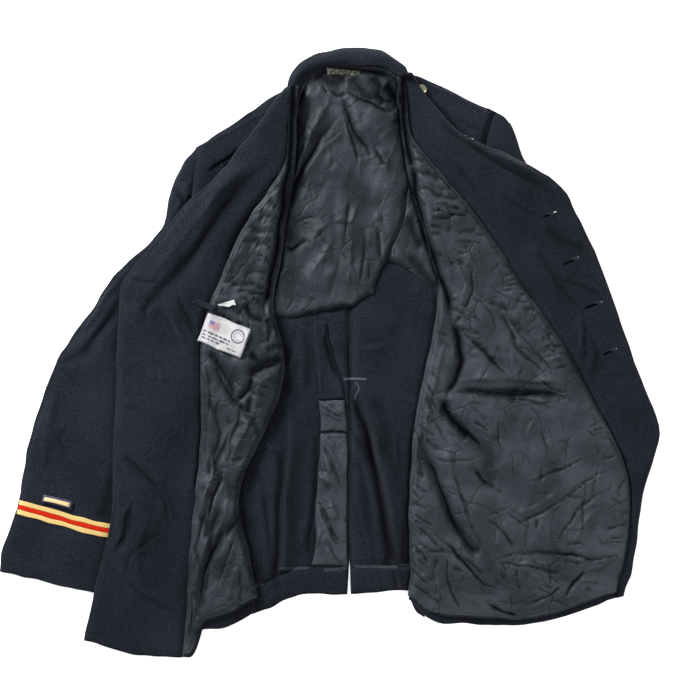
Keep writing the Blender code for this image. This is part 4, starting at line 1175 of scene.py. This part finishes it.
def raise_piece(name, piece):
    points, satin = vertices_of(piece), name in SATIN_NODES
    seam = close_seam(name, points) if name in BACK_NODES else 0.0
    points = bend_outline(name, points)
    weight = smooth_step((spread_along_edges(piece, seen[name], 8) - 0.5) / 0.4)
    rise_of = satin_rise if satin else wool_rise
    rise, painted_shade = rise_of(name, points[:, :2], rim_distance(piece, trees[name]))
    if name.startswith("front_lining"):
        points = fill_grooves(piece, points, weight)
    # Painted shade where a point lies lower than the cloth round it.
    below = spread_along_edges(piece, rise, 12) - rise
    low = (0.7 if satin else 0.3) * smooth_step(below / (0.8 * MM))
    painted_shade = np.maximum(np.maximum(painted_shade, 0.85 * seam), low)
    points[:, 2] += rise * weight
    set_points(piece, points)
    attribute = piece.data.attributes.new("painted_shade", "FLOAT", "POINT")
    attribute.data.foreach_set("value", painted_shade * weight)
    return rise, weight


for name, piece in cloth.items():
    rises[name] = raise_piece(name, piece)
print({name: round(float((rise * weight).max() / MM), 1) for name, (rise, weight) in rises.items()})

# %% [markdown]
# The top sleeves are sewn into the armholes, so their upper edges rise to meet the fronts, which have just
# risen themselves. Each shoulder strap is a loose tongue of two layers. It is laid on what is below it.

# %% Sleeves meet the fronts, and straps lie down


def meet(name, other, low, high):
    """Raise a sleeve's top edge, inside a box of the pattern, to the cloth it is sewn to."""
    piece = cloth[name]
    points, goal = vertices_of(piece), vertices_of(cloth[other])
    flat, own = (points[:, :2] - ORIGIN) / MM, tree_of(piece)
    goal = goal[seen[other] > 0.5]
    lookup = plan_lookup(goal)
    shift = np.zeros(len(points))
    for index in np.flatnonzero(((flat > low) & (flat < high)).all(1)):
        x, y, z = points[index]
        _, near, gap = lookup.find((x, y, 0))
        top = first_below(own, x, y)
        rise = goal[near][2] - 0.4 * MM - (top.z if top else z)
        shift[index] = smooth_step(1 - gap / (15 * MM)) * min(max(rise, 0.0), 6 * MM)
    points[:, 2] += spread_along_edges(piece, shift, 3)
    set_points(piece, points)
    print(name, "rises to", other, "by up to", round(float(shift.max() / MM), 1), "mm")


def drape(name):
    """Lay a strap on what is below it, pressed to half its thickness."""
    piece = cloth[name]
    points, own = vertices_of(piece), tree_of(piece)
    others = [tree_of(other) for key, other in cloth.items() if key not in STRAPS]
    inner = points.mean(0) + (points - points.mean(0)) * (0.98, 0.98, 1)
    ground, thick = np.full(len(points), np.nan), np.zeros(len(points))
    for index, (x, y, z) in enumerate(inner):
        lower = first_above(own, x, y)
        low = lower.z if lower else z
        thick[index] = max(0.0, z - low)
        hits = [first_below(tree, x, y, low + 0.6 * MM) for tree in others]
        ground[index] = max((hit.z for hit in hits if hit), default=np.nan)
    ground = np.where(np.isnan(ground), np.nanmean(ground), ground)
    rest = np.maximum(spread_along_edges(piece, ground, 8), ground - 0.6 * MM) + 0.2 * MM
    shift = rest + 0.5 * thick - points[:, 2]
    points[:, 2] += shift
    set_points(piece, points)
    rises[name] = (rises[name][0] * rises[name][1] + shift, np.ones(len(points)))
    print(name, "moves", round(float(shift.min() / MM), 1), "to", round(float(shift.max() / MM), 1), "mm")


meet("top_sleeve_left", "front_left", (205, 262), (255, 380))
meet("top_sleeve_right", "front_right", (-205, 225), (-165, 300))
for name in STRAPS:
    drape(name)

# %% [markdown]
# The pieces stand for their solids, which are hidden. Each takes its finish, rides on the coat and is
# declared as a sheet with the size of its flat cut, worked out from half of its solid's surface.

SATIN_FINISHED = SATIN_NODES + ("vent_facing", "vent_facing_top")


def dress(piece, material, *nodes, slot=None):
    piece.data.materials.clear()
    piece.data.materials.append(material)
    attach(piece, "root")
    if nodes:
        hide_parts(*nodes)
    return piece


for name, piece in cloth.items():
    satin = name in SATIN_FINISHED
    dress(piece, SATIN if satin else WOOL, name, slot="satin" if satin else "wool")
print(len(cloth), "sheets")

# %% [markdown]
# ## Trims
#
# The solids of the trims lie on their carriers as they were before the carriers rose. A trim's copy rises by
# as much as the nearest points of its carrier did, plus a little. The right cuff's braid is also laid lower
# than its solids and turned a little, and the size tag is torn.

# %% Trims follow what they lie on

TRIM_FINISH = {
    "bar_patch": (RIBBON, "wool"), "service_bar": (CREAM, "gold"), "inside_label": (LABEL, "label"),
    "neck_label": (WOVEN, "woven_label"), "size_tag": (WHITE_THREAD, "label"),
    "pocket_welt": (WOOL, "wool"),
}
for side in ("left", "right"):
    for row, braid in enumerate(((GOLD, "gold"), (SCARLET, "scarlet"), (GOLD, "gold")), start=1):
        TRIM_FINISH[f"cuff_braid_{side}_{row}"] = braid
CARRIERS = {
    "cuff_braid_left": "top_sleeve_left", "cuff_braid_right": "top_sleeve_right",
    "bar_patch": "top_sleeve_right", "service_bar": "top_sleeve_right",
    "inside_label": "front_lining_right", "size_tag": "front_lining_right",
    "pocket_welt": "front_lining_right", "neck_label": "collar",
    "front_button": "front_right", "strap_button_left": "shoulder_strap_left",
    "strap_button_right": "shoulder_strap_right",
}
BRAID_DROP, BRAID_SLOPE, CUFF_EDGE = 4.5, 0.042, 455  # mm down, mm more per mm from the cuff's outer edge
lookups = {}


def lift_at(carrier, flat):
    """How far the carrier's seen surface rose at points of the plan: the mean of the nearest vertices."""
    if carrier not in lookups:
        rise, weight = rises[carrier]
        shown = seen[carrier] > 0.5
        lookups[carrier] = (plan_lookup(vertices_of(cloth[carrier])[shown]), (rise * weight)[shown])
    lookup, lifted = lookups[carrier]
    return np.array(
        [np.mean([lifted[index] for _, index, _ in lookup.find_n((x, y, 0), 6)]) for x, y in flat]
    )


def torn(points):
    """Narrow a tag towards its left end and give its lower edge a nick."""
    low, high = points.min(0), points.max(0)
    share = (points[:, 0] - low[0]) / (high[0] - low[0])
    top = low[1] + (high[1] - low[1]) * (0.45 + 0.55 * share)
    keep = 0.25 + 0.75 * smooth_step(share * 1.3) - 0.25 * np.exp(-(((share - 0.8) / 0.12) ** 2))
    points[:, 1] = top + (points[:, 1] - top) * keep
    return points


def follow(name, levels, extra, whole):
    piece = soft_copy(name, levels)
    points = bend_outline(name, vertices_of(piece))
    if name.startswith("cuff_braid_right"):
        far = (points[:, 0] - PATTERN.x) / MM + CUFF_EDGE
        points[:, 1] -= (BRAID_DROP + BRAID_SLOPE * far) * MM
    carrier = next(below for start, below in CARRIERS.items() if name.startswith(start))
    lifted = lift_at(carrier, points[:, :2])
    points[:, 2] += (lifted.max() if whole else lifted) + extra
    if name == "size_tag":
        points = torn(points)
    set_points(piece, points)
    return piece


trims = {}
for name in TRIM_NODES:
    button = "button" in name
    label = name in ("inside_label", "size_tag")
    piece = follow(name, 1 if button else 3 if label else 2, (0.5 if label else 0.1) * MM, button)
    material, slot = (BRASS, "button_metal") if button else TRIM_FINISH[name]
    trims[name] = dress(piece, material, name, slot=slot)
print(len(trims), "trims")

# %% [markdown]
# ## Sewing and print
#
# What is left is thin: stitches, tape, buttonholes and print. Each is a narrow strip draped over whatever
# is seen there. A ray from above finds the surface under each of its points, and the strip lies a fraction
# of a millimetre above it, arched across like a thread. All strips of one kind are joined in one mesh.

# %% Strips draped from above

surface = [(tree_of(piece), *reach_of(piece)) for piece in (*cloth.values(), *trims.values())]


def height_at(x, y):
    """Height of the highest surface at a point of the plan, or None beside the coat."""
    heights = [
        hit.z for tree, low, high in surface
        if low[0] <= x <= high[0] and low[1] <= y <= high[1]
        and (hit := first_below(tree, x, y)) is not None
    ]
    return max(heights, default=None)


def resample(line, step, smooth=True):
    """Points every step (mm) along a line, which is rounded at its corners first."""
    path = np.array(line, float)
    for _ in range(2 if smooth and len(path) > 2 else 0):
        inner = np.stack([0.75 * path[:-1] + 0.25 * path[1:], 0.25 * path[:-1] + 0.75 * path[1:]], 1)
        path = np.concatenate([path[:1], inner.reshape(-1, 2), path[-1:]])
    far = lengths_along(path)
    stations = np.linspace(0, far[-1], max(2, round(far[-1] / step) + 1))
    return np.stack(at_station(path, far, stations), 1)


class Strips:
    """Collects strips of one kind and makes one piece of them."""

    ARCH = ((-0.5, -0.06), (-0.28, 0.8), (0.0, 1.0), (0.28, 0.8), (0.5, -0.06))

    def __init__(self, name, material):
        self.name, self.material, self.shape = name, material, bmesh.new()

    def add(self, line, width, thick, lift=0.05, step=1.5, smooth=True):
        path = resample(line, step, smooth)
        ways = np.gradient(path, axis=0)
        ways /= np.linalg.norm(ways, axis=1)[:, None] + 1e-9
        before = None
        for index, (place, way) in enumerate(zip(path, ways)):
            middle = in_frame(place)
            base = height_at(*middle)
            if base is None:
                before = None
                continue
            ends = index in (0, len(path) - 1)
            row = []
            for across, high in self.ARCH:
                spot = middle + np.array((-way[1], way[0])) * across * width * MM * (0.6 if ends else 1)
                ground = height_at(*spot)
                ground = base if ground is None else max(ground, base - 1.5 * MM)
                row.append(self.shape.verts.new((*spot, ground + (lift + high * thick) * MM)))
            if before:
                for left in range(len(row) - 1):
                    self.shape.faces.new((before[left], before[left + 1], row[left + 1], row[left]))
            before = row

    def stitches(self, line, dash, gap, width, thick, slant=0.0, jitter=0.0, seed=1):
        """A row of stitches along a line, each turned by the slant (degrees) and a little uneven."""
        random = np.random.default_rng(seed)
        path = resample(line, 1.0)
        far = lengths_along(path)
        start, sign = 0.0, 1
        while start + dash <= far[-1]:
            middle = start + dash / 2 + random.normal(0, jitter * gap)
            place, beyond = at_station(path, far, middle), at_station(path, far, middle + 1)
            angle = math.atan2(beyond[1] - place[1], beyond[0] - place[0])
            angle += math.radians(slant) * sign + random.normal(0, 0.12 * jitter)
            half = 0.5 * dash * (1 + random.normal(0, 0.2 * jitter))
            reach = np.array((math.cos(angle), math.sin(angle))) * half
            self.add([place - reach, place + reach], width, thick, step=max(0.8, dash / 2), smooth=False)
            start, sign = start + dash + gap, -sign if slant else 1

    def patch(self, corners, across, down, lift):
        """A four-cornered patch, corners in order, as a draped grid."""
        first, second, third, fourth = (np.array(corner, float) for corner in corners)
        rows = []
        for v in np.linspace(0, 1, down + 1):
            row = []
            for u in np.linspace(0, 1, across + 1):
                place = (first * (1 - u) + second * u) * (1 - v) + (fourth * (1 - u) + third * u) * v
                spot = in_frame(place)
                row.append(self.shape.verts.new((*spot, (height_at(*spot) or 0) + lift * MM)))
            rows.append(row)
        for above, below in zip(rows[:-1], rows[1:]):
            for left in range(across):
                self.shape.faces.new((above[left], below[left], below[left + 1], above[left + 1]))

    def finish(self):
        bmesh.ops.recalc_face_normals(self.shape, faces=self.shape.faces)
        if sum(face.normal.z for face in self.shape.faces) < 0:
            bmesh.ops.reverse_faces(self.shape, faces=self.shape.faces)
        data = bpy.data.meshes.new(self.name)
        self.shape.to_mesh(data)
        self.shape.free()
        shade_smooth(data)
        return dress(add_object(self.name, data), self.material)


# %% [markdown]
# ### Buttonholes, seams and hem
#
# Four buttonholes cross the left facing. Each is a near-black slit of painted shade, where the cut lies in
# shadow, between two rows of overcast stitches, and the thread has worn light at the outer end. A tape
# covers the raw edge of the back's hem, and the vent is held by a small bar of lighter thread with a loose
# end.

# %% Buttonholes, tape and tack

BUTTONHOLES = [  # inner and outer end of each
    ((304, 193), (318, 199)), ((332, 126), (352, 136)), ((363, 65), (385, 73)), ((389, -1), (406, 7)),
]
slits, overcast = Strips("slits", SLIT), Strips("overcast", THREAD)
worn, light = Strips("worn_thread", GREY_THREAD), Strips("light_thread", WHITE_THREAD)
for number, (inner, outer) in enumerate(BUTTONHOLES):
    inner, outer = np.array(inner, float), np.array(outer, float)
    along = (outer - inner) / np.linalg.norm(outer - inner)
    aside = np.array((-along[1], along[0]))
    # The slit is painted shade: a near-black strip laid over the cut.
    slits.add([inner, outer], 2.7, 0.1, lift=0.1)
    for side in (-1, 1):
        row = [inner + aside * side * 1.4, outer + aside * side * 1.4]
        overcast.stitches(row, 0.9, 0.35, 1.5, 0.35, slant=0, jitter=0.4, seed=number)
    for side, worn_back in ((1, 9), (-1, 5)):
        frayed = [outer - along * worn_back + aside * side * 1.6, outer + along * 1.5 + aside * side * 0.9]
        worn.add(frayed, 1.0, 0.4, lift=0.2)
    near, far = (0, 4.5) if number == 0 else (1, 2.2)
    light.add([outer + along * near, outer + along * far], 1.7, 0.5, lift=0.25)

tape = Strips("hem_tape", TAPE)
for line in (
    [(-70, -304), (-27, -304)], [(-6, -307), (12, -306), (27, -303)], [(35, -301), (66, -302), (98, -302)],
    [(-109, -330), (-91, -327)],
):
    tape.add(line, 4.2, 0.35, lift=0.05, step=2.5)

tack = Strips("tack", TACK_THREAD)
tack.add([(22, -36), (38, -35), (55, -36)], 3.0, 0.5, lift=0.15)
tack.add([(38, -40), (44, -46), (44, -52), (39, -58), (38, -65)], 1.5, 0.5, lift=0.2)

# Worn marks on the two straps, and a near-black slit of painted shade in one.
worn.add([(-152.2, 268.4), (-149.4, 267.0)], 1.4, 0.5, lift=0.2)
slits.add([(-148, 266), (-141, 271)], 2.0, 0.2, lift=0.2)
light.add([(194, 310), (199, 306), (206, 304)], 1.3, 0.5, lift=0.2)
for strips in (slits, overcast, worn, tape, tack):
    print(strips.finish().name)

# %% [markdown]
# ### The printed label, the tag and the neck label
#
# The label's own axes run along its upper edge and down its left one. On it lie a small faded flag, plain
# rules where its text goes and a plain double ring, and slanted stitches hold it down all round.

# %% Labels

LABEL_CORNER, LABEL_ACROSS, LABEL_DOWN = (-168.4, 58.8), (0.920, -0.393), (-0.377, -0.926)


def on_label(u, v):
    axes = zip(LABEL_CORNER, LABEL_ACROSS, LABEL_DOWN)
    return tuple(corner + u * across + v * down for corner, across, down in axes)


def box_on_label(left, top, right, bottom):
    return [on_label(left, top), on_label(right, top), on_label(right, bottom), on_label(left, bottom)]


ink, red = Strips("print", INK), Strips("flag_stripes", FADED_RED)
pale, blue = Strips("flag_ground", FADED_WHITE), Strips("flag_corner", FADED_BLUE)
random = np.random.default_rng(12)
for left, right, down, thick in (
    (2.8, 44.5, 25.6, 2.6), (3.2, 45.0, 30.6, 2.2), (3.4, 34.5, 35.0, 2.1), (42.5, 59.0, 36.3, 1.5),
):
    place = left
    while place < right - 2:
        end = min(place + random.uniform(4, 10), right)
        rule = [on_label(place, down), on_label(end, down + 0.02 * (end - place))]
        ink.add(rule, thick, 0.05, 0.12, 2, False)
        place = end + 1.3
for radius, points, thick in ((9.2, 41, 1.8), (5.6, 25, 0.5)):
    turns = np.linspace(0, 2 * math.pi, points)
    ring = [on_label(51.7 + radius * math.cos(turn), 14.9 + radius * math.sin(turn)) for turn in turns]
    ink.add(ring, thick, 0.05, 0.12, 1.5, False)

LEFT, TOP, RIGHT, BOTTOM = 7.3, 8.8, 23.0, 18.5  # the flag's edges on the label
STRIPES, CORNER_WIDTH, CORNER_STRIPES = 13, 6.6, 7
high = (BOTTOM - TOP) / STRIPES
pale.patch(box_on_label(LEFT, TOP, RIGHT, BOTTOM), 10, 6, 0.12)
for stripe in range(0, STRIPES, 2):
    top = TOP + stripe * high
    red.patch(box_on_label(LEFT, top, RIGHT, top + high), 10, 1, 0.26)
blue.patch(box_on_label(LEFT, TOP, LEFT + CORNER_WIDTH, TOP + CORNER_STRIPES * high), 4, 4, 0.42)

hem = [on_label(u, v) for u, v in ((1.2, 1.2), (66, 1.2), (66, 41.5), (1.2, 41.5), (1.2, 1.2))]
for start, end in zip(hem[:-1], hem[1:]):
    light.stitches([start, end], 2.2, 0.2, 0.5, 0.3, slant=48, jitter=0.3, seed=4)

neck = Strips("neck_threads", NECK_THREAD)
for down in (2.2, 0.0, -2.2):
    place = -22.0
    while place < 22:
        end = place + random.uniform(1.5, 6.0)
        neck.add([(21 + place, 398 + down), (21 + end, 398 + down)], 1.1, 0.2, 0.1, 1.5, False)
        place = end + random.uniform(0.8, 3.0)
for strips in (ink, pale, red, blue, neck, light):
    print(strips.finish().name)

# %% [markdown]
# ### Stitching on the straps
#
# The shoulder straps are stitched along both edges. Dark thread on dark cloth shows only as a line of small
# dents.

# %% Stitched edges

edging = Strips("edge_stitches", THREAD)
for (left, top), (right, bottom) in (((226, 326), (124, 380)), ((-180, 276), (-62, 346))):
    way = np.array((right - left, bottom - top), float)
    way /= np.linalg.norm(way)
    aside = np.array((-way[1], way[0]))
    for side in (-1, 1):
        start = np.array((left, top)) + aside * side * 12
        end = np.array((right, bottom)) + aside * side * 9
        edging.stitches([start + way * 4, end - way * 8], 2.4, 0.8, 0.6, 0.25, jitter=0.2)
print(edging.finish().name)

# %% [markdown]
# ## Camera, light and floor
#
# The camera looks straight down from 2.2 m, and the lens takes in the coat with the same margins. A large
# soft light stands to the upper left and a weaker one to the right, as in a room with a window. The
# floor is white and bright enough to lose the shadows.

# %% Camera, light and floor

CAMERA_HEIGHT, CLOTH_HEIGHT, WIDTH_SHOWN, SENSOR = 2.2, 0.01, 0.991, 36
FLOOR_HEIGHT = -0.4 * MM
camera_data = bpy.data.cameras.new("camera")
camera_data.sensor_width = SENSOR
camera_data.lens = SENSOR * (CAMERA_HEIGHT - CLOTH_HEIGHT) / WIDTH_SHOWN
camera_data.dof.use_dof = False
camera = add_object("camera", camera_data)
camera.location = (0.0293, 0.0055, CAMERA_HEIGHT)
bpy.context.scene.camera = camera


def area_light(name, place, size, watts, colour):
    """A round soft light that shines on the middle of the coat."""
    data = bpy.data.lights.new(name, "AREA")
    data.shape, data.size, data.energy, data.color = "DISK", size, watts, colour
    light = add_object(name, data)
    light.location = place
    light.rotation_euler = (-Vector(place)).to_track_quat("-Z", "Y").to_euler()


area_light("window", (-1.5, 1.5, 1.15), 0.8, 92, (0.96, 0.98, 1.0))
area_light("room", (1.6, -0.8, 1.7), 1.8, 16, (1.0, 0.98, 0.96))
world = bpy.data.worlds.new("world")
bpy.context.scene.world = world
world.use_nodes = True
sky = world.node_tree.nodes["Background"]
sky.inputs["Color"].default_value = (0.9, 0.95, 1.0, 1)
sky.inputs["Strength"].default_value = 0.36

shape = bmesh.new()
bmesh.ops.create_grid(shape, x_segments=1, y_segments=1, size=6)
bmesh.ops.translate(shape, verts=shape.verts, vec=(0, 0, FLOOR_HEIGHT))
floor_mesh = bpy.data.meshes.new("floor")
shape.to_mesh(floor_mesh)
shape.free()
paper = plain_material("floor", (0.9, 0.9, 0.9), 0.9, Emission_Strength=0.75, Emission_Color=(1, 1, 1, 1))
floor_mesh.materials.append(paper)
add_object("floor", floor_mesh)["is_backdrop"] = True
bpy.context.scene.view_settings.view_transform = "Standard"
print("lens", round(camera_data.lens), "mm")

# %% [markdown]
# The last cell prints the model's box and the finished coat's.

# %% Sizes, and the end

low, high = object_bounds()
for label, size in (("model", CAD_HIGH - CAD_LOW), ("shown", high - low)):
    print(label, [round(v / MM, 1) for v in size])
